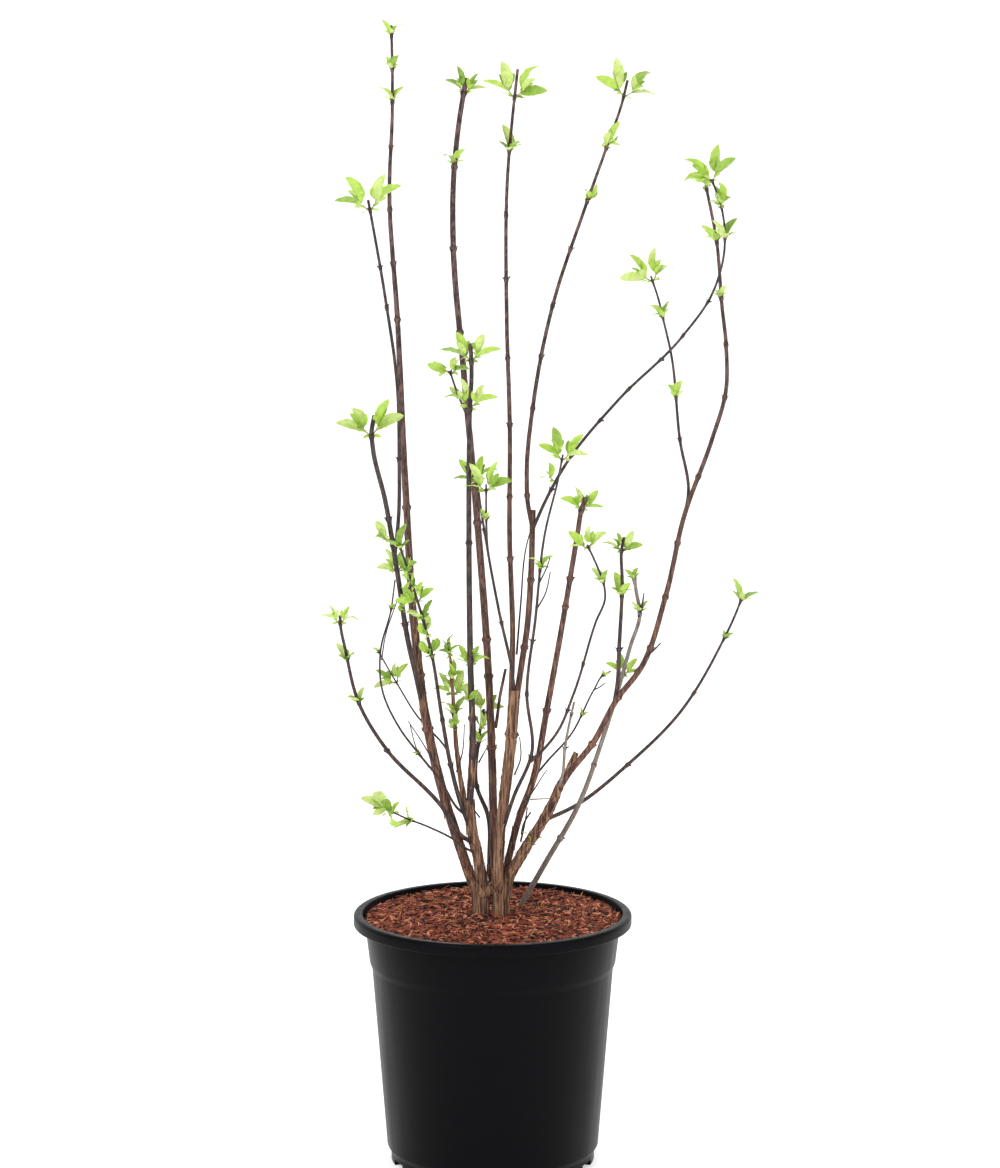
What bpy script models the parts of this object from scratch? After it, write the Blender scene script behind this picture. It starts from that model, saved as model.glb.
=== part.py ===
"""A many-stemmed flowering shrub at bud break, bare but for its first leaf tufts, in a round nursery pot.

The origin is the middle of the pot's flat underside. X runs to the right, Y to the back and Z up.
"""

import math
import random

import bmesh
import bpy
from mathutils import Vector
from mathutils.bvhtree import BVHTree

MM = 0.001
GAP = 0.3 * MM

# The pot, a thin moulded shell: radii and heights
POT_HEIGHT = 255 * MM
LIP_RADIUS = 140 * MM
LIP_DROP = 12 * MM
MOUTH_RADIUS = 131.5 * MM
BAND_TOP_RADIUS = 128 * MM
BAND_FOOT_RADIUS = 124 * MM
BAND_FOOT = 206 * MM
WALL_TOP_RADIUS = 121.5 * MM
WALL_TOP = 199 * MM
WALL_FOOT_RADIUS = 107 * MM
WALL_FOOT = 16 * MM
FOOT_RADIUS = 103 * MM
FOOT_HEIGHT = 11 * MM
WALL = 2.2 * MM
FLOOR = 3 * MM
FOOT_RING_FLOOR = 9 * MM
FOOT_RING_RADIUS = 86 * MM
POT_SIDES = 40

# Drain notches, cut up into the foot ring from below
NOTCHES = 8
NOTCH_WIDTH = 22 * MM
NOTCH_HEIGHT = 6 * MM

# The potting mix stands a little below the lip
MIX_TOP = 249 * MM
MIX_EDGE = 245 * MM
MIX_LEVEL_RADIUS = 70 * MM
GROUND = MIX_TOP + GAP

# Bark and leaf shapes
NODE_SWELL = 1.22
NODE_HALF_LENGTH = 2.6 * MM
ROOT_FLARE = 1.25
LEAF_THICKNESS = 0.9 * MM
LEAF_WIDTH_SHARE = 0.36
LEAF_WIDEST = 0.42
LEAF_ARCH = 0.07
SHOOT_SHARE = 0.34
SHOOT_THICKNESS = 2.2 * MM
SHOOT_TAPER = 0.8
SHOOT_RISE = 0.75
LEAF_SINK = 2 * MM
SMALL_TUFT = 20
CURVE_STEP = 4 * MM

# A shoot's leaves: how far up it they stand, how far they reach out, up and to the side, and their length
LEAF_FAN = (
    (1.0, 0.1, 0.35, 0.25, 0.5),
    (0.62, 0.95, 0.3, 0.35, 0.66),
    (0.84, 0.3, 0.95, -0.5, 0.66),
    (0.66, 0.6, 0.35, -0.8, 0.55),
    (0.88, 0.45, 0.7, 0.75, 0.5),
)
RING_SPACING = 60 * MM
CLEARANCE = 0.6 * MM
SEED = 11

RIGHT = Vector((1, 0, 0))
BACK = Vector((0, 1, 0))

# Finishes: colour, roughness, metallic
PLASTIC = ("#1d1d20", 0.42, 0.0)
FIBRE = ("#7a3f2c", 0.95, 0.0)
OLD_BARK = ("#8c6a52", 0.9, 0.0)
RED_BARK = ("#7a4a3c", 0.7, 0.0)
DARK_BARK = ("#4a3838", 0.65, 0.0)
GREY_BARK = ("#8b8078", 0.75, 0.0)
LEAF_GREEN = ("#a8d05a", 0.55, 0.0)

# The crown's two feet on the mix: right, back, radius, in millimetres
LEFT_FOOT = (-9, 10, 5.4)
RIGHT_FOOT = (7, 9, 8.2)
FOOT_SUNK = 6 * MM
STUB_STEP = 20 * MM
FOOT_SPREAD = 0.2
CROWN_BOW = 3 * MM
CROWN_COLLAR = 8 * MM
KNUCKLE = ((-13, 8, 270), (-3, 9, 276), (9, 8, 279))
KNUCKLE_THICK = 14

# Each stem: the places (right, back, up) that its middle passes, in millimetres from foot to tip, how thick
# it is at both ends, the height where its leafy top takes over, the heights of its node rings, and its leaf
# tufts as (height, reach, leaves to a bud, quarter turns). It grows from the crown's left or right foot, or
# from the stems named in grows_on.
STEMS = {
    "trunk_left": dict(
        line=((-13, 5, 298), (-16, 3, 316), (-20, 2, 334), (-24, 0, 370)),
        thick=(11, 10.5), crown="left", bark=OLD_BARK),
    "trunk_centre": dict(
        line=((6, -3, 298), (7, -3, 333), (12, -3, 375), (19, -4, 437), (22, -4, 482)),
        thick=(10.5, 11), rings=(437,), crown="right", bark=OLD_BARK),
    "trunk_right": dict(
        line=((21, 4, 298), (34, 3, 321), (53, 0, 352), (67, -4, 384)),
        thick=(11, 8.8), crown="right", bark=OLD_BARK),
    "cane_left_tall": dict(
        line=((-26, 13, 298), (-45, 12, 357), (-65, 10, 440), (-77, 18, 529), (-87, 36, 678), (-95, 56, 847),
              (-103, 72, 975), (-100, 80, 1054), (-100, 85, 1094), (-101, 90, 1138)),
        thick=(10.5, 2.6), top=1036, rings=(440, 493, 659, 847, 902, 956, 1017), crown="left", bark=RED_BARK,
        tufts=((1062, 15, 2, 0), (1094, 13, 2, 1), (1126, 14, 2, 0))),
    "cane_tall_brown": dict(
        line=((2, 12, 298), (0, 15, 384), (-4, 26, 491), (-16, 62, 650), (-30, 96, 799), (-40, 122, 915),
              (-40, 138, 982), (-34, 152, 1045), (-27, 162, 1087)),
        thick=(8.4, 5.2), top=975, rings=(419, 491, 527, 642, 758, 831, 915), crown="right", bark=RED_BARK,
        tufts=((996, 16, 2, 1), (1070, 26, 3, 0))),
    "cane_dark_inner": dict(
        line=((-3, 25, 298), (-5, 26, 349), (-16, 31, 377), (-14, 40, 423), (-9, 46, 454)),
        thick=(5.4, 2.8), top=400, rings=(377,), crown="right", bark=DARK_BARK,
        tufts=((418, 14, 2, 0), (449, 24, 3, 0))),
    "cane_stub_thick": dict(
        line=((14, 14, 298), (26, 14, 346), (41, 11, 389), (54, 1, 460), (72, -18, 568), (84, -32, 646),
              (87, -37, 666), (91, -40, 679)),
        thick=(7.4, 4.8), top=630, rings=(460, 568, 595), crown="right", bark=RED_BARK,
        tufts=((665, 25, 3, 0),)),
    "cane_front_stub": dict(
        line=((-23, -1, 364), (-20, -6, 416), (-22, -18, 515), (-23, -38, 634), (-22, -66, 757),
              (-20, -78, 814), (-21, -80, 832)),
        thick=(7.2, 4), top=742, rings=(453, 634, 708), grows_on=("trunk_left",), bark=DARK_BARK,
        tufts=((768, 30, 2, 0), (813, 33, 3, 0))),
    "cane_left_forked": dict(
        line=((-70, 14, 462), (-76, 2, 494), (-83, -6, 527), (-95, -20, 610), (-105, -36, 676),
              (-116, -54, 729), (-117, -58, 745), (-114, -62, 761)),
        thick=(5.6, 4.4), top=712, rings=(548, 630, 655), grows_on=("cane_left_tall",), bark=DARK_BARK,
        tufts=((740, 42, 3, 0),)),
    "cane_left_slim": dict(
        line=((-96, -24, 620), (-92, -30, 660), (-91, -38, 716), (-92, -56, 790), (-102, -78, 873),
              (-113, -102, 945), (-117, -109, 969)),
        thick=(4, 2.6), top=925, rings=(716, 865, 904), grows_on=("cane_left_forked",), bark=DARK_BARK,
        tufts=((958, 39, 3, 0),)),
    "cane_left_thin": dict(
        line=((-23, -1, 342), (-32, -3, 367), (-42, 1, 405), (-50, -6, 452), (-61, -24, 526), (-78, -50, 594),
              (-87, -62, 625), (-91, -66, 637)),
        thick=(5, 2), top=480, rings=(405, 452), grows_on=("trunk_left", "cane_front_stub"), bark=DARK_BARK,
        tufts=((518, 24, 2, 1), (556, 16, 2, 0), (590, 22, 2, 1), (630, 18, 2, 0))),
    "cane_far_left": dict(
        line=((-19, 2, 325), (-30, -9, 334), (-51, -18, 367), (-103, -50, 429), (-129, -80, 480),
              (-141, -114, 540), (-145, -130, 569), (-145, -133, 576)),
        thick=(4.6, 3), top=474, rings=(429,), grows_on=("trunk_left",), bark=DARK_BARK,
        tufts=((482, 12, 2, 0), (530, 13, 2, 1), (567, 22, 3, 0))),
    "cane_centre_tall": dict(
        line=((18.5, -2, 474), (20, 2, 531), (17, 2, 632), (17, -6, 747), (14, -26, 851), (15, -74, 997),
              (21, -98, 1064), (24, -108, 1091)),
        thick=(5.8, 2.8), top=985, rings=(612, 675, 747, 812, 891, 953), grows_on=("trunk_centre",),
        bark=RED_BARK, tufts=((1014, 18, 2, 1), (1064, 38, 3, 0))),
    "cane_right_head": dict(
        line=((24, -5, 474), (29, -1, 508), (34, 3, 540), (38, 8, 591), (40, 10, 661)),
        thick=(6.4, 6), rings=(523, 591), grows_on=("trunk_centre", "cane_centre_tall"), bark=RED_BARK),
    "cane_right_tall": dict(
        line=((39, 11, 646), (35, 15, 668), (34, 19, 695), (41, 32, 768), (60, 56, 861), (91, 80, 953),
              (114, 98, 1016), (131, 114, 1064), (136, 120, 1084)),
        thick=(4.8, 2.8), top=945, rings=(673, 759, 810, 861, 916), grows_on=("cane_right_head",),
        bark=RED_BARK, tufts=((963, 20, 2, 1), (1016, 28, 3, 1), (1066, 40, 3, 0))),
    "cane_right_arching": dict(
        line=((41, 8, 644), (48, 5, 661), (72, -8, 708), (123, -32, 774), (183, -66, 838), (211, -80, 881),
              (221, -88, 921), (218, -88, 961), (209, -84, 987)),
        thick=(3.4, 2), top=890, rings=(681, 716, 752, 783, 814, 838, 871),
        grows_on=("cane_right_head", "cane_right_tall"), bark=DARK_BARK,
        tufts=((930, 18, 2, 0), (960, 25, 3, 1), (984, 34, 3, 0))),
    "cane_inner_thin": dict(
        line=((22, -2, 478), (19, -13, 505), (8, -18, 556), (-1, -22, 603), (-12, -32, 672), (-15, -34, 693),
              (-20, -35, 713)),
        thick=(3.4, 2.2), top=664, rings=(551, 643),
        grows_on=("trunk_centre", "cane_centre_tall", "cane_right_head"),
        bark=DARK_BARK, tufts=((693, 27, 2, 0),)),
    "cane_centre_thin": dict(
        line=((8, -2, 331), (21, -12, 375), (39, -18, 421), (34, -24, 481), (42, -38, 557), (52, -60, 651),
              (63, -73, 698), (68, -80, 725)),
        thick=(4, 1.9), top=560, rings=(415, 481, 534), grows_on=("trunk_centre",), bark=DARK_BARK,
        forks=(((43, -40, 568), (52, -32, 583), (57, -26, 604)),
               ((46, -46, 596), (53, -54, 612), (56, -60, 622))),
        tufts=((608, 14, 2, 0), (718, 32, 3, 0))),
    "cane_kinked": dict(
        line=((38, -18, 412), (46, -20, 420), (63, -23, 441), (80, -33, 483), (101, -50, 557),
              (110, -58, 584), (109, -60, 594), (102, -62, 614), (92, -68, 636)),
        thick=(3, 2), top=576, rings=(465, 512), grows_on=("cane_centre_thin",), bark=DARK_BARK,
        tufts=((596, 14, 2, 1), (631, 25, 3, 0))),
    "cane_far_right": dict(
        line=((65, -3, 379), (76, -7, 398), (99, -10, 428), (125, -16, 477), (146, -18, 505), (171, -14, 577),
              (190, 0, 657), (217, 8, 731), (231, 15, 780), (231, 21, 824), (227, 28, 863), (222, 37, 924),
              (211, 44, 981)),
        thick=(6.6, 3), top=856, rings=(428, 477, 526, 577, 629, 694, 772, 824), grows_on=("trunk_right",),
        bark=RED_BARK, tufts=((868, 12, 2, 1), (924, 18, 2, 0), (976, 34, 3, 1))),
    "cane_right_short": dict(
        line=((121, -14, 470), (124, -19, 492), (125, -26, 526), (127, -44, 600), (126, -49, 627),
              (128, -52, 641)),
        thick=(4.6, 3), top=566, rings=(526,), grows_on=("cane_far_right",), bark=DARK_BARK,
        tufts=((580, 18, 2, 1), (626, 23, 3, 0))),
    "cane_right_inner": dict(
        line=((188, -1, 650), (194, 7, 676), (186, 20, 730), (177, 42, 818), (171, 49, 844), (165, 54, 869),
              (158, 60, 890)),
        thick=(3.4, 2), top=758, rings=(730,), grows_on=("cane_far_right",), bark=DARK_BARK,
        tufts=((770, 15, 2, 1), (848, 15, 2, 0), (884, 36, 3, 0))),
    "cane_pale": dict(
        line=((28, 46, 249), (55, 38, 299), (86, 24, 358), (110, 13, 428), (125, 9, 478), (137, 10, 522),
              (147, 14, 558), (144, 16, 575), (141, 18, 593)),
        thick=(6, 3.6), top=484, rings=(323, 402), crown="ground", bark=GREY_BARK,
        forks=(((146, 13, 553), (149, 12, 564), (151, 11, 578)),),
        tufts=((494, 22, 2, 0), (556, 12, 2, 0), (589, 12, 2, 1))),
    "cane_right_low": dict(
        line=((52, 1, 349), (66, 14, 352), (89, 42, 358), (138, 78, 390), (193, 104, 440), (237, 126, 509),
              (251, 134, 537), (259, 140, 556)),
        thick=(4.4, 2.4), top=500, rings=(390, 457), grows_on=("trunk_right",), bark=DARK_BARK,
        tufts=((512, 9, 2, 1), (550, 19, 3, 0))),
    "cane_left_stub": dict(
        line=((-27, 3, 360), (-33, 5, 396), (-36, 5, 420), (-39, 4, 465), (-41, 2, 499), (-44, 0, 529)),
        thick=(5.6, 2.8), top=0, grows_on=("trunk_left", "cane_front_stub", "cane_left_thin"), bark=OLD_BARK,
        tufts=((455, 17, 2, 0), (490, 20, 3, 1))),
    "twig_stub_right": dict(
        line=((66, -4, 381), (70, -10, 398), (72, -13, 424), (77, -18, 454), (81, -21, 473)),
        thick=(3.4, 2.2), rings=(424, 458), grows_on=("trunk_right", "cane_far_right"), bark=GREY_BARK),
    "twig_right_low": dict(
        line=((43, 12, 392), (54, 15, 405), (78, 22, 431), (102, 32, 476), (111, 36, 490), (119, 38, 494)),
        thick=(2.4, 1.6), top=0, grows_on=("cane_stub_thick",), bark=DARK_BARK,
        forks=(((102, 32, 476), (108, 26, 480), (113, 22, 485)),),
        tufts=((450, 7, 1, 0), (488, 7, 1, 1))),
    "twig_far_left": dict(
        line=((-24, 0, 352), (-34, -5, 361), (-52, -4, 390), (-73, 3, 415), (-93, 12, 440), (-111, 26, 477),
              (-113, 44, 515), (-103, 58, 553), (-99, 68, 583)),
        thick=(2.8, 1.6), top=0, grows_on=("trunk_left", "cane_left_thin"), bark=DARK_BARK,
        forks=(((-64, 0, 403), (-76, -8, 424), (-82, -12, 448)),
               ((-112, 40, 505), (-108, 36, 530), (-96, 36, 566))),
        tufts=((415, 6, 1, 0), (553, 7, 1, 1))),
    "twig_left_back": dict(
        line=((-46, 2, 421), (-52, 12, 427), (-60, 20, 434), (-72, 28, 445), (-97, 48, 480), (-117, 63, 512)),
        thick=(2.2, 1.5), top=0, grows_on=("cane_left_thin",), bark=DARK_BARK,
        tufts=((480, 24, 3, 0), (508, 7, 1, 0))),
    "twig_low_left": dict(
        line=((-17, 1, 315), (-27, -8, 322), (-40, -14, 333), (-62, -22, 346), (-88, -38, 360),
              (-103, -50, 370)),
        thick=(2.6, 1.6), top=0, grows_on=("trunk_left", "cane_far_left"), bark=DARK_BARK,
        tufts=((355, 14, 2, 0), (366, 36, 3, 1))),
    "twig_centre_front": dict(
        line=((-3, -24, 614), (-5, -40, 632), (-6, -49, 658), (-6, -60, 694)),
        thick=(2.6, 1.8), top=0, grows_on=("cane_inner_thin",), bark=DARK_BARK,
        tufts=((657, 9, 1, 1), (686, 30, 3, 0))),
    "twig_tall_side": dict(
        line=((-26, 84, 748), (-31, 66, 762), (-37, 40, 780), (-42, 24, 797)),
        thick=(2.8, 2), top=0, grows_on=("cane_tall_brown",), bark=DARK_BARK,
        tufts=((770, 10, 1, 1), (794, 26, 3, 0))),
}

# Tufts that stand straight on an old stem: the stem, the height, the way out (right, back), the reach
SPRIGS = {
    "leaves_left_middle": ("cane_left_forked", 632, (-0.8, -0.6), 26),
    "leaves_left_low": ("cane_left_forked", 572, (0.7, -0.7), 24),
    "leaves_front_back": ("cane_front_stub", 506, (0.3, 0.95), 22),
    "leaves_arching_foot": ("cane_right_arching", 690, (-0.8, -0.3), 22),
}

made = {}
taken = {}


def clear_scene():
    for item in list(bpy.data.objects):
        bpy.data.objects.remove(item)


def linear(hex_colour):
    """The linear colour of an sRGB hex value."""
    channels = [int(hex_colour[i:i + 2], 16) / 255 for i in (1, 3, 5)]
    return [c / 12.92 if c <= 0.04045 else ((c + 0.055) / 1.055) ** 2.4 for c in channels] + [1.0]


def paint(item, finish):
    """Gives the object its own material."""
    colour, roughness, metallic = finish
    material = bpy.data.materials.new(item.name)
    material.use_nodes = True
    shader = material.node_tree.nodes["Principled BSDF"]
    shader.inputs["Base Color"].default_value = linear(colour)
    shader.inputs["Roughness"].default_value = roughness
    shader.inputs["Metallic"].default_value = metallic
    item.data.materials.clear()
    item.data.materials.append(material)


def as_object(shape, name):
    """Links a new object made from the bmesh, with its faces turned outwards."""
    bmesh.ops.recalc_face_normals(shape, faces=shape.faces)
    mesh = bpy.data.meshes.new(name)
    shape.to_mesh(mesh)
    shape.free()
    item = bpy.data.objects.new(name, mesh)
    bpy.context.scene.collection.objects.link(item)
    return item


def bake(item, solver, operation, others):
    """Applies one Boolean with all the other objects, which are then removed."""
    group = bpy.data.collections.new("with_" + item.name)
    for other in others:
        group.objects.link(other)
    cut = item.modifiers.new("join", "BOOLEAN")
    cut.operation = operation
    cut.solver = solver
    cut.operand_type = "COLLECTION"
    cut.collection = group
    seen = item.evaluated_get(bpy.context.evaluated_depsgraph_get())
    mesh = bpy.data.meshes.new_from_object(seen)
    item.modifiers.clear()
    item.data = mesh
    for other in others:
        bpy.data.objects.remove(other)
    bpy.data.collections.remove(group)


def islands(shape):
    """The faces of each separate shell of a bmesh."""
    left = set(shape.faces)
    while left:
        shell = set()
        ahead = [left.pop()]
        while ahead:
            face = ahead.pop()
            shell.add(face)
            for edge in face.edges:
                near = [other for other in edge.link_faces if other in left]
                left.difference_update(near)
                ahead.extend(near)
        yield shell


def shell_volume(faces):
    """Six times the volume a shell holds, below zero for a hollow."""
    total = 0.0
    for face in faces:
        first, *rest = [corner.co for corner in face.verts]
        for second, third in zip(rest, rest[1:]):
            total += first.dot(second.cross(third))
    return total


def keep_main_shell(item):
    """Leaves one closed body: a sealed hollow is filled and a loose scrap is dropped."""
    shape = bmesh.new()
    shape.from_mesh(item.data)
    shells = sorted(islands(shape), key=shell_volume)
    scraps = [face for shell in shells[:-1] for face in shell]
    bmesh.ops.delete(shape, geom=scraps, context="FACES")
    shape.to_mesh(item.data)
    shape.free()


def smooth(places):
    """A list of points a curve step apart on one curve through the given places."""
    knots = [Vector(place) * MM for place in places]
    spans = [(b - a).length for a, b in zip(knots, knots[1:])]
    slopes = [(b - a) / span for a, b, span in zip(knots, knots[1:], spans)]
    tangents = [slopes[0]]
    for i in range(1, len(slopes)):
        whole = spans[i - 1] + spans[i]
        tangents.append((slopes[i - 1] * spans[i] + slopes[i] * spans[i - 1]) / whole)
    tangents.append(slopes[-1])
    path = []
    for i, span in enumerate(spans):
        steps = max(2, round(span / CURVE_STEP))
        for k in range(steps):
            t = k / steps
            path.append(
                knots[i] * (2 * t**3 - 3 * t**2 + 1)
                + tangents[i] * span * (t**3 - 2 * t**2 + t)
                + knots[i + 1] * (3 * t**2 - 2 * t**3)
                + tangents[i + 1] * span * (t**3 - t**2))
    return path + [knots[-1]]


def lengths(path):
    """How far along the path each of its points lies."""
    far = [0.0]
    for a, b in zip(path, path[1:]):
        far.append(far[-1] + (b - a).length)
    return far


def place_at(path, far, distance):
    """The point at a distance along the path, and the way the path runs there."""
    i = 1
    while i < len(far) - 1 and far[i] < distance:
        i += 1
    way = (path[i] - path[i - 1]).normalized()
    return path[i - 1] + way * (distance - far[i - 1]), way


def distance_at_height(path, far, height):
    """How far along the path the given height is first reached."""
    for i in range(1, len(path)):
        if path[i].z >= height:
            share = (height - path[i - 1].z) / max(path[i].z - path[i - 1].z, 1e-9)
            return far[i - 1] + (far[i] - far[i - 1]) * max(0.0, share)
    return far[-1]


def part_of(path, start, end):
    """The stretch of a path between two distances along it."""
    far = lengths(path)
    inner = [p for p, d in zip(path, far) if start + MM < d < end - MM]
    return [place_at(path, far, start)[0]] + inner + [place_at(path, far, end)[0]]


def bar(path, thick, sides, rings=(), step=RING_SPACING, grow=0.0):
    """A closed tapering bar along a path, swollen at the given distances."""
    far = lengths(path)
    total = far[-1]
    stations = []
    for ring in rings:
        if 2 * NODE_HALF_LENGTH < ring < total - 2 * NODE_HALF_LENGTH:
            stations += [(ring - NODE_HALF_LENGTH, 1.0), (ring, NODE_SWELL), (ring + NODE_HALF_LENGTH, 1.0)]
    swollen = [place for place, _ in stations]
    steps = max(1, math.ceil(total / step))
    for k in range(steps + 1):
        plain = total * k / steps
        if k in (0, steps) or all(abs(plain - ring) > step / 4 for ring in swollen):
            stations.append((plain, 1.0))
    stations.sort()
    shape = bmesh.new()
    hoops = []
    for distance, swell in stations:
        centre, way = place_at(path, far, distance)
        if distance == 0.0:
            centre = centre - way * grow
        elif distance == total:
            centre = centre + way * grow
        across = (BACK - way * BACK.dot(way)).normalized()
        beside = way.cross(across)
        share = distance / total
        radius = (thick[0] + (thick[1] - thick[0]) * share) * 0.5 * swell + grow
        hoops.append([
            shape.verts.new(centre + (across * math.cos(a) + beside * math.sin(a)) * radius)
            for a in (2 * math.pi * k / sides for k in range(sides))])
    for low, high in zip(hoops, hoops[1:]):
        for k in range(sides):
            following = (k + 1) % sides
            shape.faces.new((low[k], low[following], high[following], high[k]))
    shape.faces.new(hoops[0])
    shape.faces.new(hoops[-1])
    return shape


def turned(name, profile):
    """A solid turned about the upright axis; the profile starts and ends on it."""
    shape = bmesh.new()
    rings = []
    for radius, height in profile:
        count = POT_SIDES if radius > 0 else 1
        rings.append([
            shape.verts.new((radius * math.cos(a), radius * math.sin(a), height))
            for a in (2 * math.pi * (k + 0.5) / POT_SIDES for k in range(count))])
    for low, high in zip(rings, rings[1:]):
        for k in range(POT_SIDES):
            following = (k + 1) % POT_SIDES
            corners = [low[k % len(low)], low[following % len(low)],
                       high[following % len(high)], high[k % len(high)]]
            shape.faces.new(list(dict.fromkeys(corners)))
    return as_object(shape, name)


def pot_outer():
    """The pot's outside, from the middle of its underside to the inner edge of its lip."""
    return [
        (0, 0), (FOOT_RADIUS, 0), (FOOT_RADIUS, FOOT_HEIGHT), (WALL_FOOT_RADIUS, WALL_FOOT),
        (WALL_TOP_RADIUS, WALL_TOP), (BAND_FOOT_RADIUS, BAND_FOOT),
        (BAND_TOP_RADIUS, POT_HEIGHT - LIP_DROP - 4 * MM),
        (BAND_TOP_RADIUS + 3 * MM, POT_HEIGHT - LIP_DROP),
        (LIP_RADIUS - 1.5 * MM, POT_HEIGHT - LIP_DROP + 0.5 * MM),
        (LIP_RADIUS, POT_HEIGHT - 7 * MM), (LIP_RADIUS - 1 * MM, POT_HEIGHT - 2 * MM),
        (LIP_RADIUS - 4.5 * MM, POT_HEIGHT), (MOUTH_RADIUS, POT_HEIGHT - 0.5 * MM)]


def pot_inner(shrink=0.0):
    """The pot's inside, from its lip down to the middle of its floor, drawn in by shrink."""
    return [
        (MOUTH_RADIUS - 2 * MM - shrink, POT_HEIGHT - 4 * MM),
        (BAND_TOP_RADIUS - 0.5 * MM - shrink, POT_HEIGHT - LIP_DROP + 1 * MM),
        (BAND_TOP_RADIUS - WALL - shrink, POT_HEIGHT - LIP_DROP - 5 * MM),
        (BAND_FOOT_RADIUS - WALL - shrink, BAND_FOOT),
        (WALL_TOP_RADIUS - WALL - shrink, WALL_TOP),
        (WALL_FOOT_RADIUS - WALL - shrink, WALL_FOOT),
        (FOOT_RADIUS - WALL - shrink, FOOT_RING_FLOOR + shrink),
        (FOOT_RING_RADIUS - shrink, FOOT_RING_FLOOR + shrink),
        (FOOT_RING_RADIUS - FOOT_RING_FLOOR + FLOOR - shrink, FLOOR + shrink), (0, FLOOR + shrink)]


def box(name, low, high):
    """A plain block between two corners."""
    shape = bmesh.new()
    bmesh.ops.create_cube(shape, size=1.0)
    low, high = Vector(low), Vector(high)
    for corner in shape.verts:
        corner.co = (low + high) / 2 + Vector(a * b for a, b in zip(corner.co, high - low))
    return as_object(shape, name)


def make_pot():
    """A hollow moulded pot with a rolled lip, a banded top and a notched foot."""
    pot = turned("pot", pot_outer() + pot_inner())
    cutters = []
    for k in range(NOTCHES):
        cutter = box(f"notch_{k}", (FOOT_RING_RADIUS + 2 * MM, -NOTCH_WIDTH / 2, -5 * MM),
                     (LIP_RADIUS, NOTCH_WIDTH / 2, NOTCH_HEIGHT))
        cutter.rotation_euler.z = 2 * math.pi * (k + 0.5) / NOTCHES
        cutters.append(cutter)
    bake(pot, "EXACT", "DIFFERENCE", cutters)
    pot.data.shade_smooth()
    pot.data.set_sharp_from_angle(angle=math.radians(32))
    paint(pot, PLASTIC)
    taken["pot"] = tree_of(pot)


def make_mix():
    """The potting mix that fills the pot, level round the stems and lower at the wall."""
    inside = [(r, z) for r, z in pot_inner(GAP) if z < BAND_FOOT]
    mix = turned("potting_mix", [(0, MIX_TOP), (MIX_LEVEL_RADIUS, MIX_TOP),
                                 (BAND_TOP_RADIUS - WALL - GAP, MIX_EDGE)] + inside)
    paint(mix, FIBRE)
    taken["potting_mix"] = tree_of(mix)


def tree_of(item):
    shape = bmesh.new()
    shape.from_mesh(item.data)
    tree = BVHTree.FromBMesh(shape)
    shape.free()
    return tree


def stem_path(row):
    """A stem's whole middle line, from foot to tip."""
    return smooth(row["line"])


def split_distance(row, path, far):
    """How far up a stem its leafy top takes over: nowhere on a bare one, at its foot on a leafy twig."""
    if "top" not in row:
        return far[-1]
    return distance_at_height(path, far, row["top"] * MM) if row["top"] else 0.0


def thickness_at(row, far, distance):
    foot, tip = row["thick"]
    return (foot + (tip - foot) * distance / far[-1]) * MM


def sides_for(thick):
    """More sides on a thicker stem."""
    return 7 if thick > 8 * MM else 6 if thick > 4.5 * MM else 5


def make_crown():
    """The fibrous stool that the stems rise from, with a short stub under each and two feet on the mix."""
    bars = []
    for name, row in STEMS.items():
        if row.get("crown") not in ("left", "right"):
            continue
        right, back, radius = LEFT_FOOT if row["crown"] == "left" else RIGHT_FOOT
        path = stem_path(row)
        way = (path[1] - path[0]).normalized()
        end = path[0] - way * GAP
        foot = Vector((right * MM, back * MM, GROUND))
        spread = (end - foot).to_2d() * FOOT_SPREAD
        sunk = foot + Vector((spread.x, spread.y, -FOOT_SUNK))
        middle = (foot + end) / 2 - way.to_2d().to_3d() * CROWN_BOW
        run = [sunk / MM, middle / MM, (end - way * CROWN_COLLAR) / MM, end / MM]
        thick = row["thick"][0] * MM
        flare = max(thick, radius * MM) * ROOT_FLARE
        stub = bar(smooth(run), (flare, thick), sides_for(thick), step=STUB_STEP)
        bars.append(as_object(stub, "stub_" + name))
    bars.append(as_object(bar(smooth(KNUCKLE), (KNUCKLE_THICK * MM,) * 2, 7), "stub_knuckle"))
    crown = bars.pop(0)
    crown.name = "crown"
    bake(crown, "MANIFOLD", "UNION", bars)
    ground = box("ground_cutter", (-0.1, -0.1, GROUND - 0.05), (0.1, 0.1, GROUND))
    bake(crown, "MANIFOLD", "DIFFERENCE", [ground])
    keep_main_shell(crown)
    paint(crown, OLD_BARK)
    taken["crown"] = tree_of(crown)


def cut_clear(item, hosts, grow=GAP):
    """Trims an object to stop just short of the stems it grows on."""
    cutters = []
    for host in hosts:
        path, thick, rings = made[host]
        cutters.append(as_object(bar(path, thick, sides_for(thick[0]), rings, grow=grow), "cutter_" + host))
    bake(item, "MANIFOLD", "DIFFERENCE", cutters)
    keep_main_shell(item)


def make_limb(name, row):
    """The bare lower stretch of a stem, as one tapering bar with its node rings."""
    path = stem_path(row)
    far = lengths(path)
    end = split_distance(row, path, far)
    if end == 0.0:
        return
    thick = (row["thick"][0] * MM, thickness_at(row, far, end))
    rings = [distance_at_height(path, far, ring * MM) for ring in row.get("rings", ())]
    stretch = part_of(path, 0.0, end)
    made[name] = (stretch, thick, rings)
    limb = as_object(bar(stretch, thick, sides_for(thick[0]), rings), name)
    if row.get("crown") == "ground":
        ground = box("ground_cutter", (-0.2, -0.2, GROUND - 0.05), (0.2, 0.2, GROUND))
        bake(limb, "MANIFOLD", "DIFFERENCE", [ground])
    if "grows_on" in row:
        cut_clear(limb, row["grows_on"])
    limb.data.shade_smooth()
    paint(limb, row["bark"])
    taken[name] = tree_of(limb)


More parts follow.
